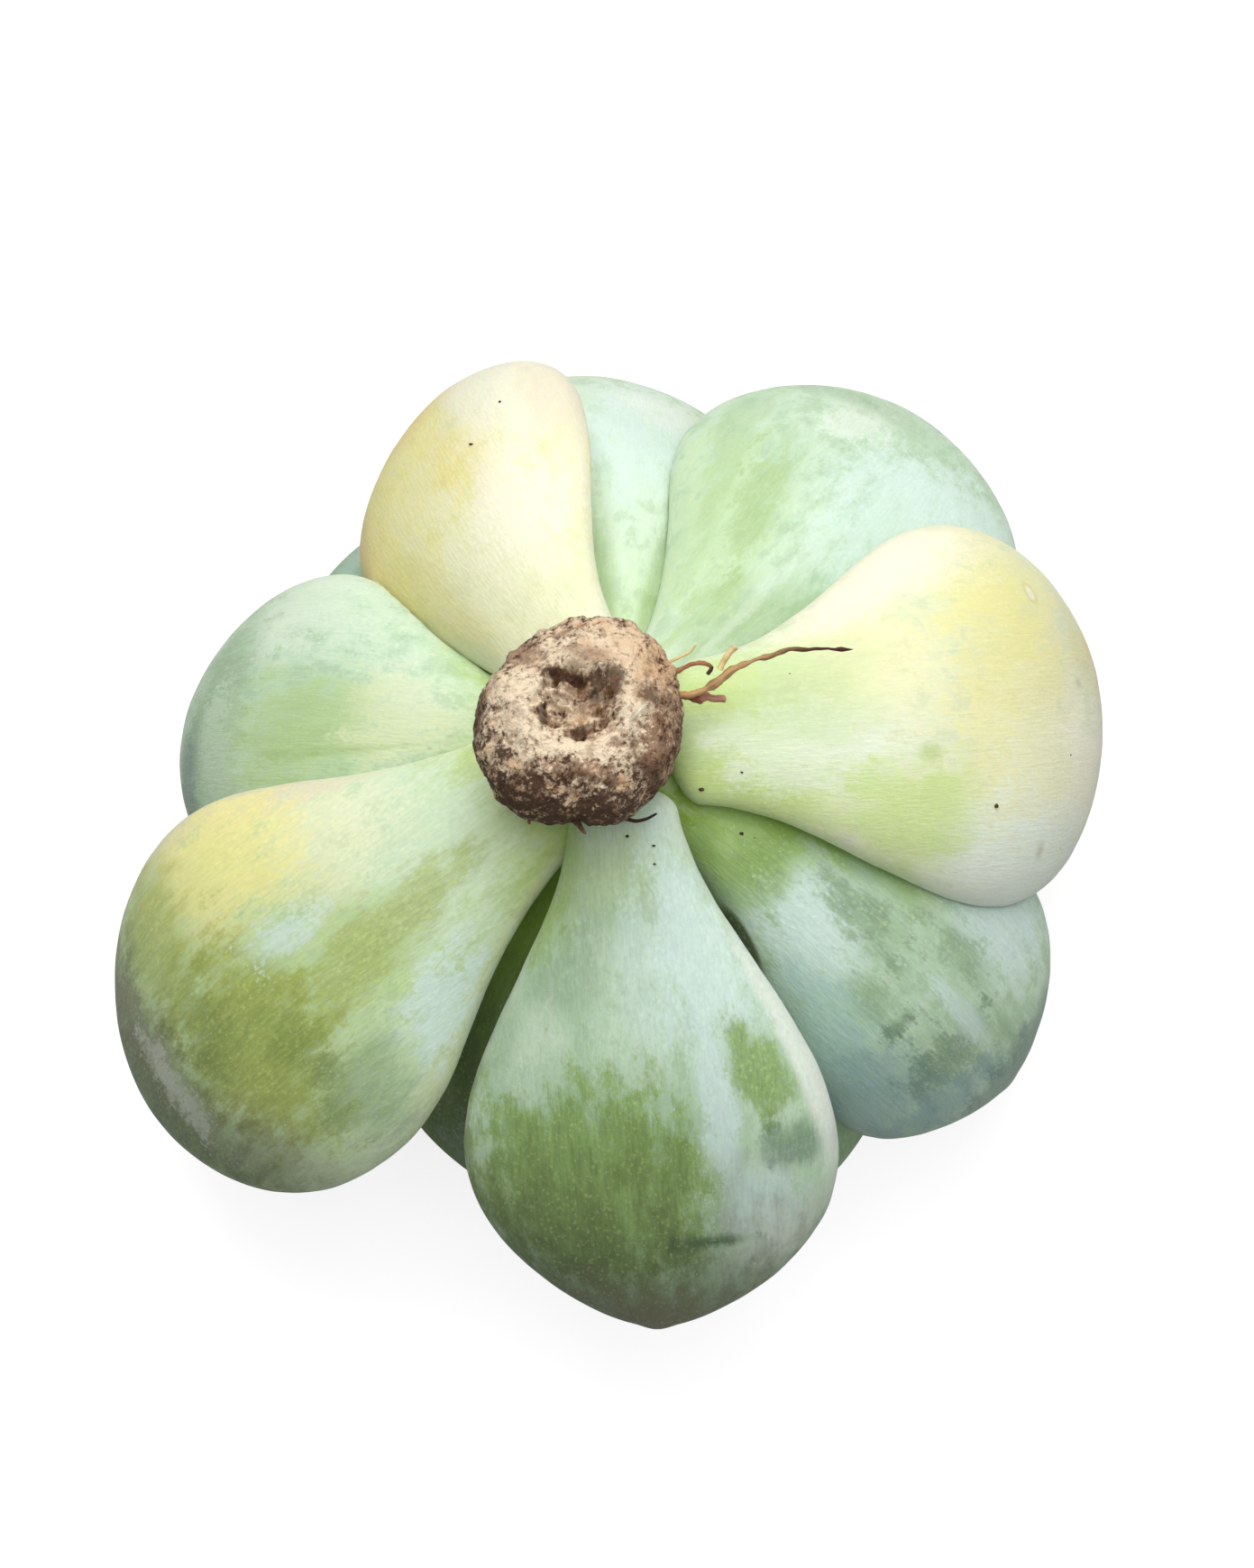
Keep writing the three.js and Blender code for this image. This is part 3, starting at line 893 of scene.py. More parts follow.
@dataclass(frozen=True)
class Leaf:
    """One thick leaf, from where it leaves the stem to its tip.

    Height is that of the base. Reach is outward, drop is down and lean is sideways, from base to
    tip. Neck is the width at the base and widest is where it is broadest, both as shares.
    """

    number: int
    height: float
    azimuth: float
    reach: float
    drop: float
    lean: float
    roll: float
    width: float
    neck: float
    widest: float
    tip: float
    bend_out: float
    bend_down: float
    thickness: float = 8.0
    rings: int = 132
    around: int = 132
    point_length: float = 0.5

    TOUCH_GAP = 0.3
    SEAM_GAP = 0.12
    BACK_SHARE = 0.62
    NECK_THICKNESS = 0.42
    THICKEST = 0.6
    CHANNEL = 0.12
    EDGE_POWER = 0.85
    BASE_ROUNDING = 0.05
    SECTIONS = 90
    FAR = 6.0
    HALVINGS = 9
    LEAST_LEFT = 0.04

    @property
    def name(self) -> str:
        """Name of the leaf's CAD node."""
        return f"leaf_{self.number:02d}"

    def midrib(self, along: np.ndarray) -> tuple[np.ndarray, np.ndarray, np.ndarray, np.ndarray]:
        """Follow the midrib, a quadratic curve that leaves the stem near level and bends down.

        Args:
            along: Shares of the way from base to tip.

        Returns:
            Points on the midrib, and the forward, across and back directions there.
        """
        azimuth = math.radians(self.azimuth)
        out = np.array([math.cos(azimuth), math.sin(azimuth), 0.0])
        side = np.array([-out[1], out[0], 0.0])
        down = np.array([0.0, 0.0, -1.0])
        stem_radius = float(STUMP.radius_at(np.array(self.height)))
        start = out * (stem_radius + self.TOUCH_GAP) - down * self.height
        bend = start + out * self.reach * self.bend_out + down * self.drop * self.bend_down
        tip = start + out * self.reach + side * self.lean + down * self.drop
        share = along[..., None]
        points = (1 - share) ** 2 * start + 2 * share * (1 - share) * bend + share**2 * tip
        forward = unit(2 * (1 - share) * (bend - start) + 2 * share * (tip - bend))
        flat = unit(side - (forward @ side)[..., None] * forward)
        lift = np.cross(forward, flat)
        roll = math.radians(self.roll)
        across = flat * math.cos(roll) + lift * math.sin(roll)
        back = lift * math.cos(roll) - flat * math.sin(roll)
        return points, forward, across, back

    def half_width(self, along: np.ndarray) -> np.ndarray:
        """Half the width: half a sine wave up to the widest, a power of a circle down to the tip."""
        rise = np.sin(np.pi / 2 * np.minimum(along / self.widest, 1.0)) ** 2
        past = np.maximum(along - self.widest, 0.0) / (1.0 - self.widest)
        fall = np.maximum(1.0 - past**2, 0.0) ** self.tip
        return self.width / 2 * (self.neck + (1.0 - self.neck) * rise) * fall * self.base_end(along)

    def body(self, along: np.ndarray) -> np.ndarray:
        """Thickness: half a sine wave up to the thickest part and an ellipse down to the tip."""
        rise = np.sin(np.pi / 2 * np.minimum(along / self.THICKEST, 1.0)) ** 2
        past = np.maximum(along - self.THICKEST, 0.0) / (1.0 - self.THICKEST)
        fall = np.sqrt(np.maximum(1.0 - past**2, 0.0))
        neck = self.NECK_THICKNESS + (1.0 - self.NECK_THICKNESS) * rise
        return self.thickness * neck * fall * self.base_end(along)

    def base_end(self, along: np.ndarray) -> np.ndarray:
        """The share that rounds off the base, a quarter of an ellipse."""
        return np.sqrt(1.0 - np.maximum(1.0 - along / self.BASE_ROUNDING, 0.0) ** 2)

    def rounding(self, share: np.ndarray | float) -> np.ndarray | float:
        """How much of the full thickness is left at a share of the way out to the margin."""
        return np.maximum(1.0 - share ** (2 / self.EDGE_POWER), 0.0) ** (self.EDGE_POWER / 2)

    def holds(self, points: np.ndarray, growth: float) -> np.ndarray:
        """Tell which points lie within this leaf grown by a gap.

        Each point is compared with the leaf's section at the nearest place on the midrib: it is
        inside if it is within the half-width and between the two faces there.

        Args:
            points: Points in millimetres, one per row.
            growth: The gap.

        Returns:
            True for each point inside.
        """
        along = np.linspace(0.0, 1.0, self.SECTIONS)
        centre, _, across, back = self.midrib(along)
        nearest = ((points[:, None] - centre[None]) ** 2).sum(-1).argmin(1)
        away = points - centre[nearest]
        sideways = np.einsum("ij,ij->i", away, across[nearest])
        outward = np.einsum("ij,ij->i", away, back[nearest])
        half = self.half_width(along)[nearest]
        share = np.abs(sideways) / (half + growth + 1e-9)
        round_off = self.rounding(np.minimum(share, 1.0))
        face = np.where(outward > 0, self.BACK_SHARE, 1.0 - self.BACK_SHARE)
        body = self.body(along)[nearest] * face + growth
        raised = outward + self.CHANNEL * half * np.minimum(share, 1.0) ** 2
        over = np.where(raised > 0, raised, -raised)
        beyond = np.linalg.norm(away, axis=1) > half + self.FAR
        return (share < 1.0) & (over < body * round_off) & ~beyond

    def surface(self) -> tuple[np.ndarray, np.ndarray, np.ndarray, dict[str, np.ndarray]]:
        """Work out the leaf's rings, one for each place along the midrib.

        Across a ring, the sideways part is the half-width times the cosine of the turn, and the
        outward part the thickness times its sine, each raised to a power below one, less a hollow
        that deepens towards the margins. Broad and fine lumps move the skin a little.

        Returns:
            The rings, the midrib points they surround, the forward directions and the marks.
        """
        angle = np.linspace(0.0, np.pi, self.rings + 2)[1:-1]
        along = (1.0 - np.cos(angle)) / 2
        turn = np.linspace(0.0, 2.0 * np.pi, self.around, endpoint=False)
        centre, forward, across, back = self.midrib(along)
        half = self.half_width(along)[:, None]
        share = signed_power(np.cos(turn), self.EDGE_POWER)[None]
        rise = signed_power(np.sin(turn), self.EDGE_POWER)[None]
        faces = np.where(np.sin(turn) > 0, self.BACK_SHARE, 1.0 - self.BACK_SHARE)[None]
        sideways = half * share
        outward = self.body(along)[:, None] * faces * rise - self.CHANNEL * half * share**2
        rings = centre[:, None] + across[:, None] * sideways[..., None] + back[:, None] * outward[..., None]
        away = unit(rings - centre[:, None])
        seed_shift = np.array([31.0, 17.0, 7.0]) * self.number
        broad = Lumps(21).field(rings + seed_shift, 11.0)
        lumps = 0.30 * broad + 0.05 * Lumps(22).field(rings + seed_shift, 2.4, 2)
        rings = rings + away * (lumps * np.minimum(half / 6.0, 1.0))[..., None]
        near_tip = np.linalg.norm(rings - centre[-1], axis=-1)
        point = self.point_length * smoothstep(2.6, 0.0, near_tip)
        rings = rings + forward[-1] * point[..., None]
        length = np.linalg.norm(np.diff(centre, axis=0), axis=1).sum()
        forth = np.broadcast_to(along[:, None], sideways.shape)
        skin = np.stack([sideways, forth * length, outward], axis=-1) + seed_shift
        place = np.stack([np.broadcast_to(share, sideways.shape), forth, np.zeros_like(forth)], axis=-1)
        return rings, centre, forward, {"leaf_place": place, "leaf_skin": skin}

    def press(self, rings: np.ndarray, centre: np.ndarray, others: list) -> np.ndarray:
        """Draw the skin in towards the midrib wherever another piece presses on it.

        Each point inside another piece is moved along the line to its midrib point, by halving, to
        where it just clears that piece.

        Args:
            rings: The leaf's rings.
            centre: The midrib point of each ring.
            others: The stump and the leaves already in place.

        Returns:
            The rings, pressed.
        """
        points = rings.reshape(-1, 3).copy()
        middles = np.repeat(centre, rings.shape[1], axis=0)
        for other in others:
            hit = np.flatnonzero(other.holds(points, self.SEAM_GAP))
            if not len(hit):
                continue
            low, high = np.zeros(len(hit)), np.ones(len(hit))
            for _ in range(self.HALVINGS):
                middle = (low + high) / 2
                tried = middles[hit] + middle[:, None] * (points[hit] - middles[hit])
                inside = other.holds(tried, self.SEAM_GAP)
                high = np.where(inside, middle, high)
                low = np.where(inside, low, middle)
            left = np.maximum(low, self.LEAST_LEFT)
            points[hit] = middles[hit] + left[:, None] * (points[hit] - middles[hit])
        return points.reshape(rings.shape)

    def build(self, others: list, finish: LeafFinish, slot: str, effects: SharedEffects) -> bpy.types.Object:
        """Build the leaf against the pieces already in place, and dress it.

        Args:
            others: The stump and the leaves already in place.
            finish: The leaf's finish.
            slot: The record's slot for it. It is not used.
            effects: The shared node groups.

        Returns:
            The leaf's piece.
        """
        rings, centre, forward, marks = self.surface()
        rings = self.press(rings, centre, others)
        ends, _, _, _ = self.midrib(np.array([0.0, 1.0]))
        tip = ends[1] + forward[-1] * self.point_length
        rings[..., 2] = np.maximum(rings[..., 2], 0.0)
        tip[2] = max(tip[2], 0.0)
        piece = closed_skin(f"{self.name}_skin", rings, ends[0], tip, marks)
        finish.dress(piece, effects)
        place_piece(piece, self.name)
        return piece

    def spot(self, across: float, along: float) -> tuple[np.ndarray, np.ndarray]:
        """Find a point on the back of the leaf and the direction straight out of it there."""
        place = np.array([along])
        centre, _, side, back = self.midrib(place)
        half, body = self.half_width(place), self.body(place)
        rise = self.rounding(abs(across))
        outward = body * self.BACK_SHARE * rise - self.CHANNEL * half * across**2
        point = centre + side * (half * across)[:, None] + back * outward[:, None]
        lean = 0.8 * across * abs(across)
        return point[0], unit(back[0] + side[0] * lean)


def place_piece(piece: bpy.types.Object, node: str) -> None:
    """Let a finished piece ride on the plant and stand for its CAD node."""
    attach(piece, "root")
    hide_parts(node)
    LOG.info("%s stands for %s: %d faces", piece.name, node, len(piece.data.polygons))


def outer_leaves() -> list[Leaf]:
    """Make the eight outer leaves, each with a lie of its own, from the outermost in."""
    rows = (
        (46.0, 276, 42, 30, -1, 8, 33, 0.28, 0.67, 0.63, 0.57, 0.27),
        (45.0, 121, 39, 29, -6, -25, 28, 0.35, 0.66, 0.62, 0.60, 0.35),
        (44.0, 2, 41, 29, 11, 2, 35, 0.36, 0.62, 0.52, 0.69, 0.00),
        (43.0, 213, 46, 29, 0, -2, 36, 0.32, 0.59, 0.50, 0.71, 0.27),
        (41.0, 329, 40, 29, -2, 6, 29, 0.28, 0.73, 0.66, 0.65, 0.25),
        (40.0, 171, 38, 28, -3, -3, 31, 0.20, 0.63, 0.55, 0.62, 0.26),
        (39.0, 47, 47, 28, 6, -3, 35, 0.25, 0.59, 0.53, 0.66, 0.25),
        (37.5, 88, 44, 33, 0, 14, 30, 0.22, 0.66, 0.56, 0.64, 0.30),
    )
    return [Leaf(number, *row) for number, row in enumerate(rows, start=1)]


@dataclass(frozen=True)
class InnerLeaves:
    """The inner leaves, whose sizes run evenly from the first value to the last."""

    count: int = 22
    first_number: int = 9
    height: tuple[float, float] = (36.5, 18.0)
    azimuth: float = 256.0
    length: tuple[float, float] = (49.0, 15.0)
    dip: tuple[float, float] = (46.0, 84.0)
    width: tuple[float, float] = (31.0, 6.0)
    thickness: tuple[float, float] = (7.0, 2.6)
    FACET_DEPTH = 0.6
    PARTLY_SEEN = 6
    STRAYS = {
        0: {"azimuth": 254.0, "reach": 31.0, "drop": 35.0},
        1: {"azimuth": 130.0, "reach": 37.0, "drop": 35.0},
        5: {"azimuth": 300.0, "reach": 35.0, "drop": 30.0, "width": 27.0},
    }

    def make(self) -> list[Leaf]:
        """Work out every inner leaf, resting the ones that reach the surface on it."""
        leaves = []
        for index in range(self.count):
            youth = index / (self.count - 1)
            height, length, dip, width, thickness = (
                first + (last - first) * youth
                for first, last in (self.height, self.length, self.dip, self.width, self.thickness)
            )
            dip = math.radians(dip)
            fineness = 96 if index < self.PARTLY_SEEN else 56
            sizes = {
                "height": height,
                "azimuth": self.azimuth - GOLDEN_ANGLE * index,
                "reach": length * math.cos(dip),
                "drop": length * math.sin(dip),
                "lean": 0.0,
                "roll": 0.0,
                "width": width,
                "neck": 0.25,
                "widest": 0.64,
                "tip": 0.56,
                "bend_out": 0.64,
                "bend_down": 0.27,
                "thickness": thickness,
                "rings": fineness,
                "around": fineness,
            }
            sizes |= self.STRAYS.get(index, {})
            for _ in range(2):
                trial = Leaf(self.first_number + index, **sizes)
                excess = -self.FACET_DEPTH - trial.surface()[0][..., 2].min()
                sizes["drop"] -= max(excess, 0.0)
            leaves.append(Leaf(self.first_number + index, **sizes))
        return leaves


# Each row is a tint, its place across and along, its size across and along, its strength, softness,
# raggedness and turn. See Wash, which holds what a row leaves out.
LEAF_FINISHES = {
    1: LeafFinish(
        T.MINT, T.PALE_MINT, T.PALE_MINT,
        washes(
            (T.LIME, -0.95, 0.14, 0.1, 0.14, 0.7), (T.SAGE, 0, 0.16, 0.26, 0.07, 0.4),
            (T.FRESH, -0.1, 0.13, 0.3, 0.06, 0.5), (T.BLUE_CHALK, 0.62, 0.28, 0.12, 0.22, 0.9),
            (T.BLUE_CHALK, 0.1, 0.3, 0.08, 0.12, 0.5), (T.SAGE, -0.55, 0.3, 0.1, 0.07, 0.4, 0.4, 1.8),
            (T.PALE_MINT, -0.7, 0.42, 0.06, 0.06, 0.6), (T.SAGE, -0.95, 0.44, 0.04, 0.08, 0.4),
            (T.LEAF, -0.3, 0.69, 0.24, 0.21, 0.9, 0.3), (T.OLIVE, -0.45, 0.72, 0.16, 0.12, 0.5, 0.5, 1.8),
            (T.OLIVE, 0, 0.62, 0.08, 0.06, 0.4, 0.5, 1.8),
            (T.BLUE_CHALK, 0.45, 0.53, 0.035, 0.11, 0.95, 0.35, 1.3, -8),
            (T.BLUE_CHALK, 0.62, 0.72, 0.07, 0.09, 0.9, 0.4, 1.6, -8),
            (T.LEAF, 0.72, 0.48, 0.055, 0.08, 0.85, 0.35, 1.4),
            (T.DEEP, 0.82, 0.62, 0.06, 0.045, 0.6, 0.5, 1.6), (T.CHALK, 0.75, 0.8, 0.1, 0.08),
            (T.CHALK, 0.97, 0.48, 0.02, 0.22, 0.95, 0.5, 0.5),
            (T.DEEP, 0.36, 0.775, 0.07, 0.012, 0.95, 0.9, 1.6),
            # Painted shade: the moss patch at the tip darkens it where it bends down towards the floor, away
            # from the light.
            (T.MOSS, -0.2, 1, 0.5, 0.24, 0.95, 0.8, 0.9), (T.TAUPE, 0, 0.95, 0.2, 0.08, 0.6, 0.8, 1.4),
        ),
        stipple=0.16,
    ),
    2: LeafFinish(
        T.LEMON, T.IVORY, T.CREAM,
        washes(
            (T.IVORY, -0.2, 0.3, 0.26, 0.2, 0.9), (T.CREAM, -0.75, 0.72, 0.14, 0.28, 0.95, 0.5, 0.6),
            (T.CREAM, -0.5, 0.36, 0.14, 0.12, 0.9), (T.STRAW, 0.72, 0.36, 0.1, 0.18, 0.45, 0.5, 1.4),
            (T.STRAW, 0.55, 0.62, 0.12, 0.18, 0.2, 0.4, 1.6),
            (T.PEACH, -0.1, 0.55, 0.1, 0.12, 0.12, 0.4, 1.8),
            (T.PEACH, 0.1, 0.92, 0.16, 0.1, 0.5, 0.8, 0.6), (T.PEACH, 0.88, 0.72, 0.06, 0.2, 0.5, 0.8, 0.4),
            (T.BLUSH, -0.95, 0.62, 0.05, 0.14, 0.5), (T.IVORY, 0.2, 0.56, 0.1, 0.1, 0.35, 0.5, 1.6),
        ),
        stipple=0.09, patchy=0.2,
    ),
    3: LeafFinish(
        T.IVORY, T.PALE_LIME, T.CREAM,
        washes(
            # Painted light: the strong pale lime patch at the base lightens the part that lies in the
            # stump's shadow.
            (T.PALE_LIME, -0.75, 0.12, 0.16, 0.14, 0.9), (T.CHALK, -0.3, 0.22, 0.14, 0.16, 0.6, 0.4, 1.4),
            (T.FRESH, 0.2, 0.22, 0.14, 0.12, 0.5, 0.4, 1.4), (T.LEMON, 0.45, 0.36, 0.14, 0.12, 0.2),
            (T.LEMON, 0, 0.6, 0.34, 0.13, 0.6, 0.4, 1.4), (T.LEMON, 0.5, 0.7, 0.16, 0.12, 0.5, 0.4, 1.4),
            (T.CREAM, 0.88, 0.45, 0.06, 0.22, 0.9), (T.PALE_LIME, -0.55, 0.45, 0.08, 0.06, 0.5, 0.4, 1.6),
            (T.LIME, -0.28, 0.41, 0.02, 0.022, 0.45, 0.6, 1.6),
            (T.IVORY, -0.65, 0.66, 0.2, 0.16, 0.9, 0.5, 0.9),
            (T.CREAM, -0.6, 0.82, 0.2, 0.12, 0.8, 0.5, 0.9), (T.CHALK, -0.9, 0.6, 0.1, 0.2, 0.9),
            (T.PALE_LIME, -0.68, 0.36, 0.1, 0.09, 0.8, 0.5, 1.4), (T.STRAW, 0.3, 0.85, 0.1, 0.06, 0.4),
            (T.PEACH, 0.3, 0.93, 0.1, 0.05, 0.4), (T.TAUPE, -0.75, 0.63, 0.012, 0.01, 0.35, 0.8, 1),
            (T.TAUPE, 0.08, 0.79, 0.01, 0.012, 0.3, 0.8, 1),
            (T.STRAW, 0.58, 0.72, 0.02, 0.016, 0.9, 0.3, 0.3),
            (T.CREAM, 0.58, 0.72, 0.013, 0.01, 0.9, 0.4, 0.3),
        ),
        stipple=0.09, patchy=0.2,
    ),
    4: LeafFinish(
        T.FRESH, T.PALE_LIME, T.IVORY,
        washes(
            (T.PALE_MINT, -0.2, 0.22, 0.3, 0.12, 0.8, 0.5, 1), (T.IVORY, -0.6, 0.34, 0.14, 0.12, 0.7),
            (T.BLUSH, -0.98, 0.5, 0.05, 0.22, 0.7), (T.LEMON, -0.68, 0.52, 0.12, 0.14, 0.8, 0.5),
            (T.MEADOW, 0.22, 0.36, 0.07, 0.2, 0.65, 0.4, 1.6, 6),
            (T.MEADOW, 0.22, 0.62, 0.16, 0.15, 0.95, 0.4, 1.3),
            (T.OLIVE, 0.35, 0.56, 0.07, 0.05, 0.45, 0.5, 2), (T.OLIVE, -0.05, 0.68, 0.1, 0.05, 0.5, 0.5, 2),
            (T.MEADOW, -0.55, 0.7, 0.14, 0.09, 0.7, 0.5, 1.4),
            (T.BLUE_CHALK, -0.14, 0.47, 0.035, 0.06, 0.8, 0.4, 2.2),
            (T.BLUE_CHALK, 0.82, 0.34, 0.06, 0.08, 0.8, 0.4, 1.6),
            (T.SAGE, 0.72, 0.52, 0.07, 0.09, 0.5, 0.4, 1.6),
            (T.MEADOW, -0.15, 0.43, 0.08, 0.08, 0.12, 0.5, 2), (T.TAUPE, 0.7, 0.76, 0.1, 0.09, 0.45),
            # Painted shade: the moss patch at the tip darkens it where it bends down towards the floor, away
            # from the light.
            (T.MOSS, 0, 0.9, 0.4, 0.13, 0.85, 0.7, 1), (T.TAUPE, -0.3, 0.84, 0.24, 0.06, 0.5, 0.6, 1.4),
            (T.CHALK, 0.05, 0.83, 0.12, 0.03, 0.4, 0.6, 2.8),
        ),
        stipple=0.14, patchy=0.3,
    ),
    5: LeafFinish(
        # The lime at the base and the lime washes on the side towards leaf 3 are painted shade under leaf 3,
        # green with the glow of light through it.
        T.MINT, T.LIME, T.PALE_MINT,
        washes(
            (T.LIME, 0, 0.18, 0.3, 0.09, 0.5), (T.LIME, 0.3, 0.28, 0.08, 0.1, 0.7, 0.5, 1),
            (T.BLUE_CHALK, -0.35, 0.38, 0.18, 0.11, 0.9, 0.4, 1.4),
            (T.LEAF, -0.25, 0.24, 0.12, 0.05, 0.7, 0.5, 1.4),
            (T.LIME, 0.45, 0.42, 0.05, 0.14, 0.5, 0.6, 1, -12),
            (T.SAGE, 0, 0.44, 0.07, 0.11, 0.75, 0.5, 2.4), (T.SAGE, -0.45, 0.54, 0.05, 0.06, 0.6, 0.5, 2.4),
            (T.BLUE_MINT, -0.8, 0.55, 0.1, 0.16), (T.BLUE_GREY, -0.8, 0.7, 0.12, 0.12, 0.7),
            (T.DEEP, -0.42, 0.61, 0.05, 0.02, 0.6, 0.5, 2), (T.BLUE_CHALK, 0.6, 0.66, 0.12, 0.14, 0.95),
            (T.SAGE, 0.2, 0.62, 0.05, 0.1, 0.7, 0.5, 2.4), (T.DEEP, -0.25, 0.76, 0.09, 0.11, 0.6, 0.5, 2.4),
            (T.SAGE, 0.1, 0.82, 0.05, 0.08, 0.5, 0.5, 2.4),
            (T.BLUE_CHALK, -0.05, 0.7, 0.025, 0.12, 0.7, 0.5, 2),
            # Painted shade: the blue-grey and slate patches near the tip darken it where it bends down
            # towards the floor, away from the light.
            (T.MOSS, -0.99, 0.31, 0.022, 0.07, 0.95, 0.3, 0.3), (T.BLUE_GREY, -0.55, 0.84, 0.16, 0.06, 0.7),
            (T.SLATE, 0.2, 0.93, 0.3, 0.06, 0.6),
        ),
        stipple=0.16, patchy=0.45,
    ),
    6: LeafFinish(
        T.MINT, T.PALE_LIME, T.PALE_MINT,
        washes(
            # Painted shade: the lime patch at the base, on the flank that leaf 2 covers, stands for leaf 2's
            # shadow.
            (T.LIME, -0.9, 0.2, 0.08, 0.1, 0.4), (T.PALE_MINT, -0.2, 0.3, 0.2, 0.12, 0.7),
            (T.FRESH, 0.1, 0.48, 0.12, 0.24, 0.8, 0.5, 1.4), (T.LEAF, 0.05, 0.54, 0.1, 0.16, 0.3, 0.6, 2.4),
            (T.CHALK, -0.75, 0.62, 0.09, 0.12, 0.9, 0.5), (T.IVORY, 0, 0.3, 0.16, 0.1, 0.5, 0.5, 1.6),
            (T.LEAF, 0.25, 0.46, 0.008, 0.16, 0.35, 1, 2.4), (T.PALE_MINT, -0.75, 0.58, 0.09, 0.2),
            (T.SAGE, 0, 0.78, 0.22, 0.09, 0.6, 0.5, 1.6),
            (T.PALE_MINT, 0.2, 0.76, 0.12, 0.06, 0.5, 0.4, 2.4),
            (T.SLATE, 0.45, 0.86, 0.12, 0.05, 0.6, 0.6, 1.4),
        ),
        stipple=0.1, patchy=0.45,
    ),
    7: LeafFinish(
        T.MINT, T.PALE_MINT, T.PALE_MINT,
        washes(
            (T.LEAF, -0.3, 0.22, 0.12, 0.1, 0.35), (T.FRESH, 0.6, 0.34, 0.12, 0.2, 0.5, 0.4, 1.6),
            (T.LEAF, 0.2, 0.16, 0.12, 0.1, 0.35, 0.4, 1.6), (T.CHALK, 0, 0.24, 0.02, 0.16, 0.4, 0.8),
            (T.LEAF, 0.45, 0.42, 0.04, 0.14, 0.4, 0.4, 2, 4),
            (T.LEAF, 0.75, 0.5, 0.03, 0.2, 0.3, 0.5, 2, 4),
            (T.PALE_MINT, 0.1, 0.42, 0.02, 0.16, 0.5, 0.8, 1.6, -4),
            (T.BLUE_CHALK, -0.3, 0.56, 0.14, 0.18, 0.7),
            (T.BLUE_CHALK, -0.6, 0.68, 0.14, 0.11, 0.6, 0.5, 1.6),
            (T.CHALK, 0.3, 0.74, 0.06, 0.1, 0.5, 0.4, 1.8),
            (T.SAGE, 0.35, 0.82, 0.14, 0.05, 0.35, 0.4, 1.8),
        ),
        stipple=0.09, patchy=0.4,
    ),
    8: LeafFinish(
        T.PALE_MINT, T.FRESH, T.MINT,
        washes(
            # Painted shade: the two green washes near the base are the shadows of leaves 2 and 7, which lie
            # over its sides.
            (T.LEAF, -0.44, 0.2, 0.06, 0.18, 0.5), (T.LEAF, 0.44, 0.22, 0.06, 0.18, 0.5),
            (T.SAGE, -0.35, 0.5, 0.03, 0.2, 0.35, 0.5, 1.6), (T.BLUE_CHALK, 0, 0.6, 0.12, 0.2),
            (T.CHALK, -0.2, 0.72, 0.1, 0.08, 0.6),
        ),
        stipple=0.07, patchy=0.4,
    ),
    # Leaf 9 shows in the gap between leaves 1 and 4. Its dark greens are painted shade, and the bright lime
    # at its base is painted light, the glow through the leaves beside the stem.
    9: LeafFinish(
        T.LEAF, T.BRIGHT_LIME, T.SAGE,
        washes(
            (T.LIME, 0, 0.28, 0.4, 0.2), (T.OLIVE, 0, 0.52, 0.4, 0.14, 0.6, 0.5, 1.6),
            (T.MOSS, 0, 0.78, 0.5, 0.22, 0.7, 0.6), (T.BLUE_GREY, 0.2, 0.86, 0.2, 0.1, 0.5, 0.5, 1.8),
        ),
        stipple=0.12,
    ),
}

# The finish of the inner leaves. Its bright lime base and lime wash are painted light, the glow through the
# leaves in the gaps beside the stem.
SHADED = LeafFinish(
    T.SAGE, T.BRIGHT_LIME, T.MINT,
    washes(
        (T.LIME, 0, 0.28, 0.4, 0.2), (T.LEAF, -0.2, 0.52, 0.24, 0.16, 0.7, 0.5, 1.6),
        (T.OLIVE, 0.25, 0.44, 0.14, 0.12, 0.5, 0.5, 1.6),
        (T.BLUE_MINT, 0.1, 0.78, 0.28, 0.16, 0.7, 0.5, 1.6), (T.CHALK, -0.3, 0.82, 0.1, 0.1, 0.5, 0.5, 1.8),
        (T.LEAF, 0.45, 0.86, 0.1, 0.08, 0.5, 0.5, 1.8),
    ),
    stipple=0.12,
)

YELLOW_LEAVES = (2, 3, 4)
BLUE_LEAVES = (5, 8)


def leaf_slot(number: int) -> str:
    """Name the record's slot for a leaf."""
    if number in YELLOW_LEAVES:
        return "yellow_leaf"
    return "blue_leaf" if number in BLUE_LEAVES else "green_leaf"


# ---------------- roots


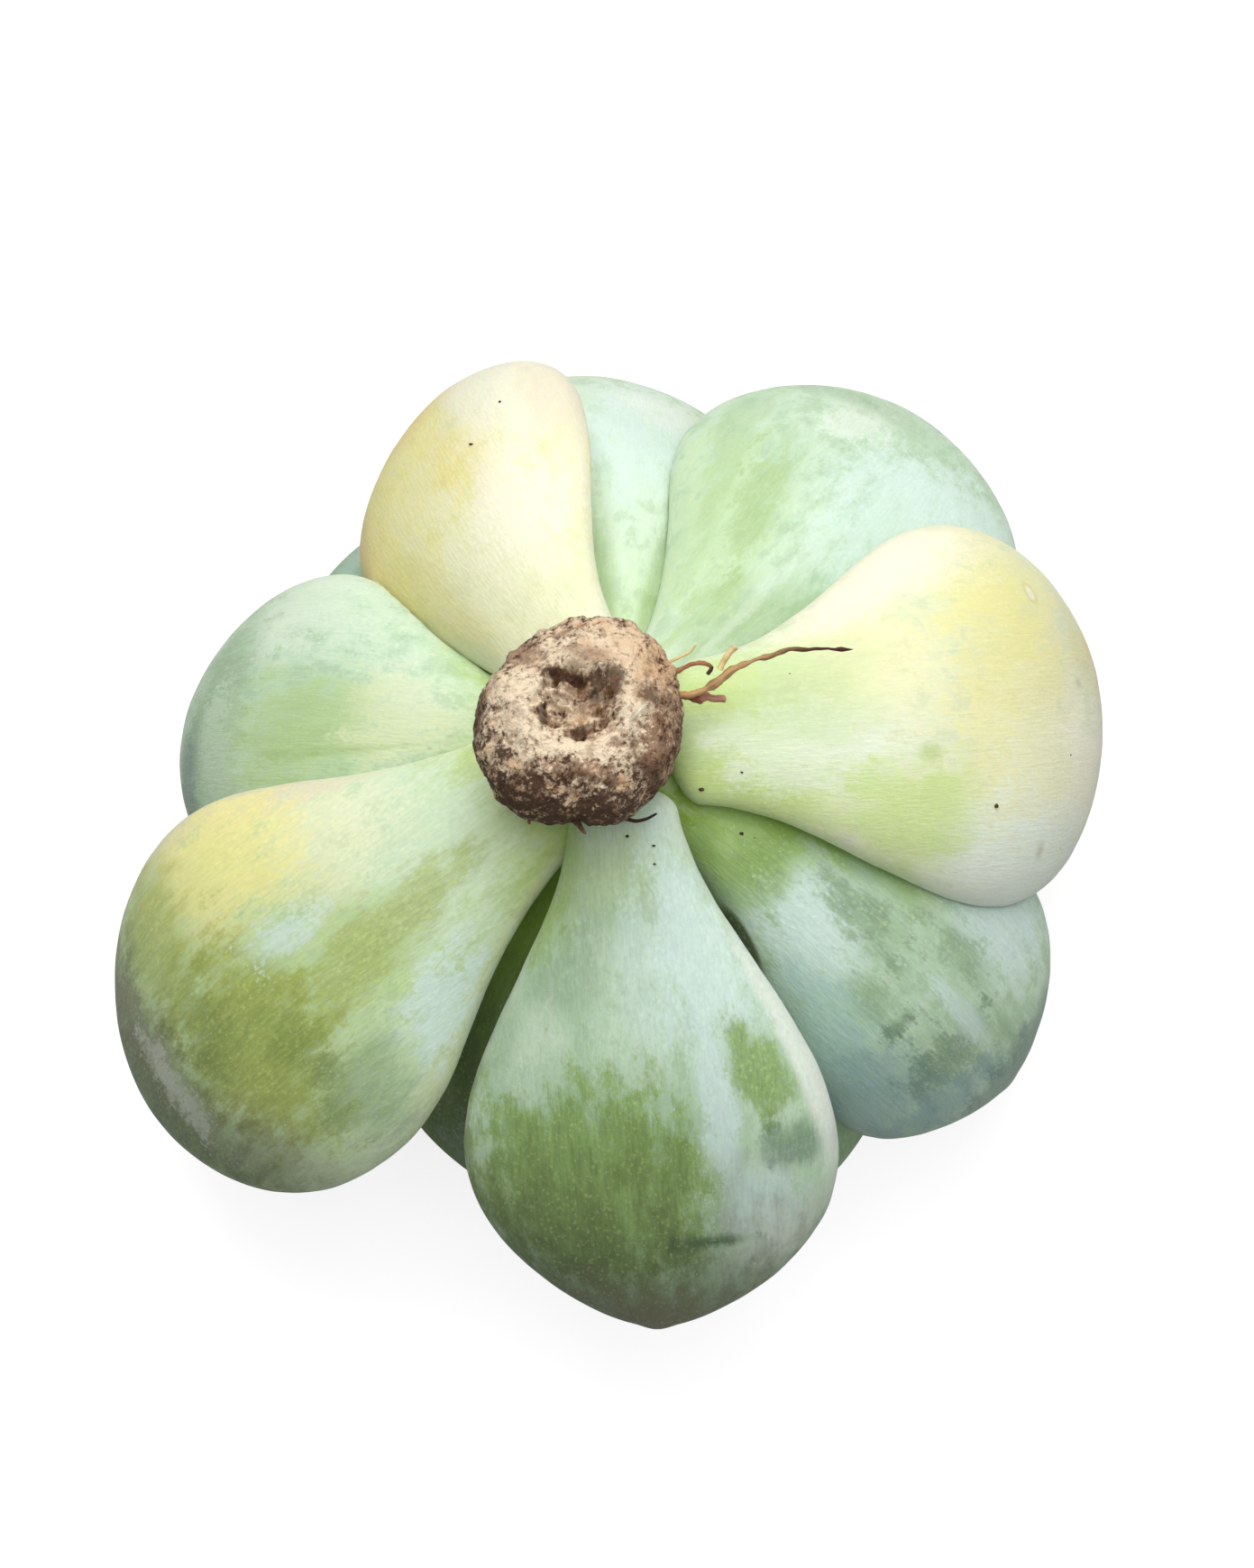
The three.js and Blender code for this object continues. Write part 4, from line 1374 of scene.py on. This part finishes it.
@dataclass(frozen=True)
class Root:
    """One dried root: its radius at both ends and the points along it."""

    node: str
    start_radius: float
    end_radius: float
    path: tuple[Vector3, ...]
    finish: RootFinish
    knots: float = 0.18
    wander: float = 0.12
    rings: int = 90
    around: int = 20

    ROUNDED_END = 26

    def surface(self) -> tuple[np.ndarray, dict[str, np.ndarray]]:
        """Carry a round section along a smooth path.

        The path passes through the points as a Catmull-Rom curve and wanders a little from it. The
        radius runs evenly from start to end, with knots that swell it and rounded ends.

        Returns:
            The rings of points, and the marks for the finish.
        """
        given = np.array(self.path)
        ends = np.concatenate([[2 * given[0] - given[1]], given, [2 * given[-1] - given[-2]]])
        share = np.linspace(0.0, 1.0, self.rings)
        place = share * (len(given) - 1)
        leg = np.minimum(place.astype(int), len(given) - 2)
        part = (place - leg)[:, None]
        a, b, c, d = (ends[leg + k] for k in range(4))
        bent = (2 * a - 5 * b + 4 * c - d) * part**2 + (3 * b - a - 3 * c + d) * part**3
        curve = 0.5 * (2 * b + (c - a) * part + bent)
        number = float(len(self.node))  # moves the random fields, so that the roots differ
        drift = np.stack([Lumps(40 + k).field(curve + number, 1.6, 2) for k in range(3)], axis=-1)
        curve = curve + drift * self.wander * np.minimum(share * 4, 1.0)[:, None]
        forward = unit(np.gradient(curve, axis=0))
        side = unit(np.cross(forward, np.array([0.05, 0.1, 1.0])))
        lift = np.cross(side, forward)
        turn = np.linspace(0.0, 2.0 * np.pi, self.around, endpoint=False)
        radius = self.start_radius + (self.end_radius - self.start_radius) * share
        past = np.maximum(1.0 - (1.0 - share) * self.ROUNDED_END, 0.0)
        radius = radius * np.sqrt(np.clip(1.0 - past**2, 0.03, 1.0))
        swelling = Lumps(51).field(curve + number, 1.1, 2)
        radius = radius * (1.0 + self.knots * 1.6 * np.maximum(swelling, -0.35))
        east, north = np.cos(turn), np.sin(turn)
        ring = side[:, None] * east[:, None] + lift[:, None] * north[:, None]
        rings = curve[:, None] + ring * radius[:, None, None]
        wrinkles = Lumps(53).field(rings + number, 0.32, 2)
        rings = rings + ring * (0.16 * radius[:, None] * wrinkles)[..., None]
        form = np.broadcast_to(share[:, None, None], rings.shape)
        distance = np.concatenate([[0.0], np.cumsum(np.linalg.norm(np.diff(curve, axis=0), axis=1))])
        reach = np.broadcast_to(distance[:, None], wrinkles.shape)
        skin = np.stack([east * radius[:, None], north * radius[:, None], reach], axis=-1)
        return rings, {"root_form": form, "root_skin": skin * (2.0, 2.0, 1.0) + number}

    def build(self, effects: SharedEffects) -> bpy.types.Object:
        """Build the root, dress it and let it stand for its node, if it has one."""
        rings, marks = self.surface()
        piece = closed_skin(f"{self.node}_skin", rings, rings[0].mean(0), rings[-1].mean(0), marks)
        self.finish.dress(piece, effects)
        if self.node in CAD_ROOTS:
            place_piece(piece, self.node)
        else:
            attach(piece, "root")
        return piece


CAD_ROOTS = ("main_root", "cut_root", "pale_root", "looped_root", "fine_root", "dark_root")
RUSTY = RootFinish(Tint.ROOT_RUST, Tint.ROOT_DARK, 0.55)
TANNED = RootFinish(Tint.ROOT_TAN, Tint.ROOT_DARK, 0.72)
RED_BROWN = RootFinish(Tint.ROOT_RED, Tint.ROOT_PINK)
WHITE = RootFinish(Tint.CREAM, Tint.CREAM)
SHREDDED = RootFinish(Tint.CORK_DARK, Tint.CORK_BROWN)
STRAWY = RootFinish(Tint.ROOT_STRAW, Tint.ROOT_STRAW)
BLACKENED = RootFinish(Tint.ROOT_DARK, Tint.SOIL, 0.3)

ROOTS = (
    Root(
        "main_root", 0.42, 0.1,
        (
            (5, 1.5, 50.4), (6.6, 1.4, 50.4), (8.2, 2.1, 50.5), (10.6, 3.7, 50.6), (15, 5.5, 49.8),
            (20.6, 6.3, 48),
        ),
        TANNED, knots=0.5,
    ),
    Root(
        "cut_root", 0.34, 0.44,
        ((5, 1.7, 49.5), (7.4, 1.5, 49.3), (9.7, 1.4, 49.1)),
        RED_BROWN, knots=0.5,
    ),
    Root("pale_root", 0.28, 0.24, ((9, 3.4, 51.2), (9.6, 4.4, 51.6), (10.3, 5.2, 52)), STRAWY),
    Root("looped_root", 0.2, 0.18, ((5, 2.8, 52), (7.2, 3.7, 52.2), (8.3, 3.4, 52), (8, 2.8, 51.8)), RUSTY),
    Root("fine_root", 0.14, 0.1, ((4.6, 3.6, 52.4), (6.2, 4.2, 52.8), (6.9, 4.9, 53.2)), STRAWY),
    Root("dark_root", 0.22, 0.1, ((0.6, -9.2, 49.4), (2.4, -9.1, 48.8), (3.8, -8.4, 48.4)), BLACKENED),
)
SHREDS = (
    Root("white_fibre", 0.15, 0.08, ((1.5, -3, 57.5), (2.1, -2.5, 58), (2.8, -1.7, 57.5)), WHITE, rings=30),
    Root(
        "left_shred", 0.26, 0.1,
        ((-6.6, -9, 51), (-7, -9.7, 50.6), (-7, -10.1, 50.4)),
        SHREDDED, rings=30,
    ),
    Root(
        "right_shred", 0.34, 0.1,
        ((-3.1, -9.8, 51.4), (-2.6, -10.6, 51), (-2.2, -11, 50.8)),
        SHREDDED, rings=30,
    ),
)


# ---------------- soil crumbs


@dataclass(frozen=True)
class SoilCrumbs:
    """Grains of dry soil lying on the leaves: leaf number, place across and along, and size."""

    grains: tuple[tuple[int, float, float, float], ...] = (
        (3, -0.54, 0.52, 0.3), (3, -0.61, 0.11, 0.12), (3, -0.85, 0.05, 0.24),
        (3, 0.12, 0.47, 0.08), (3, -0.31, 0.72, 0.1), (3, 0.45, 0.2, 0.08), (3, -0.78, 0.7, 0.08),
        (5, -0.15, 0.18, 0.26), (5, -0.08, 0.2, 0.12), (2, -0.35, 0.57, 0.17),
        (2, -0.63, 0.64, 0.14), (1, 0.45, 0.13, 0.13), (1, 0.1, 0.08, 0.16), (1, 0.5, 0.1, 0.14),
        (4, 0.4, 0.12, 0.1),
    )
    name: str = "soil_crumbs"

    ROWS = 7
    COLUMNS = 10
    SUNK = 0.2

    def build(self, leaves: list[Leaf], effects: SharedEffects) -> bpy.types.Object:
        """Build every grain as one piece: lumpy balls, a little sunk into the bloom.

        Args:
            leaves: The leaves that they lie on.
            effects: The shared node groups.

        Returns:
            The piece.
        """
        rows, columns = self.ROWS, self.COLUMNS
        polar = np.linspace(0.0, np.pi, rows + 2)[1:-1, None]
        turn = np.linspace(0.0, 2.0 * np.pi, columns, endpoint=False)
        tall = np.broadcast_to(np.cos(polar), (rows, columns))
        ball = np.stack([np.sin(polar) * np.cos(turn), np.sin(polar) * np.sin(turn), tall], axis=-1)
        top = rows * columns
        here = np.arange(top).reshape(rows, columns)
        onward = np.roll(here, -1, axis=1)
        sides = np.stack([here[:-1], here[1:], onward[1:], onward[:-1]], axis=-1).reshape(-1, 4).tolist()
        caps = np.concatenate([
            np.stack([np.full(columns, top), here[0], onward[0]], axis=-1),
            np.stack([np.full(columns, top + 1), onward[-1], here[-1]], axis=-1),
        ]).tolist()
        points, faces = [], []
        shape = np.concatenate([ball.reshape(-1, 3), [[0, 0, 1], [0, 0, -1]]])
        for count, (number, across, along, size) in enumerate(self.grains):
            spot, outward = leaves[number - 1].spot(across, along)
            lumpy = shape * (1.0 + 0.45 * Lumps(61).field(shape + 5.0 * count, 0.9, 2))[:, None]
            lumpy = lumpy * (1.0, 0.7, 0.6)
            points.append(spot + outward * size * self.SUNK + lumpy * size)
            faces += [[corner + (top + 2) * count for corner in face] for face in sides + caps]
        piece = skin_piece(self.name, np.concatenate(points), faces)
        SoilFinish().dress(piece, effects)
        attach(piece, "root")
        LOG.info("%s: %d grains", piece.name, len(self.grains))
        return piece


# ---------------- studio


@dataclass(frozen=True)
class Studio:
    """The plain pale floor, the soft lights and the camera."""

    floor_half: float = 3.0
    floor_drop: float = 0.0001
    camera_place: Vector3 = (0.00113, -0.08217, 0.31378)
    camera_tilt: float = 16.0
    lens: float = 75.0
    sensor: float = 36.0

    def floor(self) -> bpy.types.Object:
        """Lay the floor just under the lowest leaf tips."""
        reach, low = self.floor_half, -self.floor_drop
        corners = [(-reach, -reach, low), (reach, -reach, low), (reach, reach, low), (-reach, reach, low)]
        mesh = bpy.data.meshes.new("floor")
        mesh.from_pydata(corners, [], [(0, 1, 2, 3)])
        piece = add_object("floor", mesh)
        bench = MaterialBench("floor_finish")
        seen = bench.put("ShaderNodeLightPath").outputs["Is Camera Ray"]
        matt = bench.put("ShaderNodeBsdfDiffuse", {"Color": (0.30, 0.30, 0.30, 1.0)})
        lit = bench.put("ShaderNodeEmission", {"Color": (1.0, 1.0, 1.0, 1.0), "Strength": 0.82})
        pale = bench.put("ShaderNodeAddShader", {0: matt.outputs[0], 1: lit.outputs[0]})
        quiet = bench.put("ShaderNodeBsdfDiffuse", {"Color": (0.30, 0.31, 0.30, 1.0)})
        mixed = {0: seen, 1: quiet.outputs[0], 2: pale.outputs[0]}
        bench.cover(piece, bench.put("ShaderNodeMixShader", mixed))
        return piece

    def light(self, name: str, place: Vector3, size: float, power: float, warmth: Vector3) -> None:
        """Hang one square soft light that faces the plant.

        Args:
            name: Name of the light.
            place: Where it hangs, in metres.
            size: Length of its side, in metres.
            power: Its power in watts.
            warmth: Its colour.
        """
        data = bpy.data.lights.new(name, "AREA")
        data.shape = "SQUARE"
        data.size = size
        data.energy = power
        data.color = warmth
        lamp = add_object(name, data)
        lamp.location = place
        aim = Vector((0.0, 0.0, 0.03)) - Vector(place)
        lamp.rotation_euler = aim.to_track_quat("-Z", "Y").to_euler()

    def build(self) -> None:
        """Set out the floor, the lights, the surroundings and the camera."""
        self.floor()
        self.light("key_panel", (-0.05, 0.42, 0.62), 0.55, 4.1, (1.0, 0.99, 0.96))
        self.light("side_panel", (0.62, -0.12, 0.45), 0.4, 0.8, (1.0, 0.995, 0.98))
        self.light("top_panel", (0.05, 0.0, 0.9), 0.6, 2.7, (1.0, 0.995, 0.98))
        world = bpy.data.worlds.new("surroundings")
        world.use_nodes = True
        world.node_tree.nodes.clear()
        bench = Bench(world.node_tree)
        seen = bench.put("ShaderNodeLightPath").outputs["Is Camera Ray"]
        quiet = bench.put("ShaderNodeBackground", {"Color": (0.97, 0.985, 1.0, 1.0), "Strength": 0.3})
        white = bench.put("ShaderNodeBackground", {"Color": (1.0, 1.0, 1.0, 1.0), "Strength": 1.0})
        mixed = bench.put("ShaderNodeMixShader", {0: seen, 1: quiet.outputs[0], 2: white.outputs[0]})
        bench.put("ShaderNodeOutputWorld", {"Surface": mixed.outputs[0]})
        scene = bpy.context.scene
        scene.world = world
        scene.view_settings.view_transform = "Standard"
        camera = add_object("camera", bpy.data.cameras.new("camera"))
        camera.location = self.camera_place
        camera.rotation_euler = (math.radians(self.camera_tilt), 0.0, 0.0)
        camera.data.lens = self.lens
        camera.data.sensor_width = self.sensor
        camera.data.clip_start = 0.01
        camera.data.clip_end = 50.0
        scene.camera = camera
        LOG.info("floor, lights and camera are set out")


KNOB_OFFSET = 0.172


def plant_shift() -> np.ndarray:
    """Find how far the plant stands off its own axis, from where the stem's CAD node is.

    The stem's box is as wide as its knob, whose lobes reach a little farther to one side, so the
    middle of that box stands off the knob's centre by half the difference.

    Returns:
        The shift in millimetres: the middle of the box less where the knob's lean and lobes put it.
    """
    low, high = (np.array(corner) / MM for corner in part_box("stem"))
    middle = (low + high) / 2
    return np.array([middle[0] - STUMP.lean[0], middle[1] - STUMP.lean[1] - KNOB_OFFSET, 0.0])


PLANT_SHIFT = plant_shift()


def main() -> None:
    """Build the stump, the leaves from the outermost in, the roots, the crumbs and the studio."""
    logging.basicConfig(level=logging.INFO, format="%(name)s: %(message)s")
    effects = SharedEffects.build()
    STUMP.build(effects)
    leaves = outer_leaves() + InnerLeaves().make()
    placed: list = [STUMP]
    for leaf in leaves:
        finish = LEAF_FINISHES.get(leaf.number, SHADED)
        leaf.build(placed, finish, leaf_slot(leaf.number), effects)
        placed.append(leaf)
    for root in ROOTS + SHREDS:
        root.build(effects)
    SoilCrumbs().build(leaves, effects)
    Studio().build()


if __name__ == "__main__":
    main()
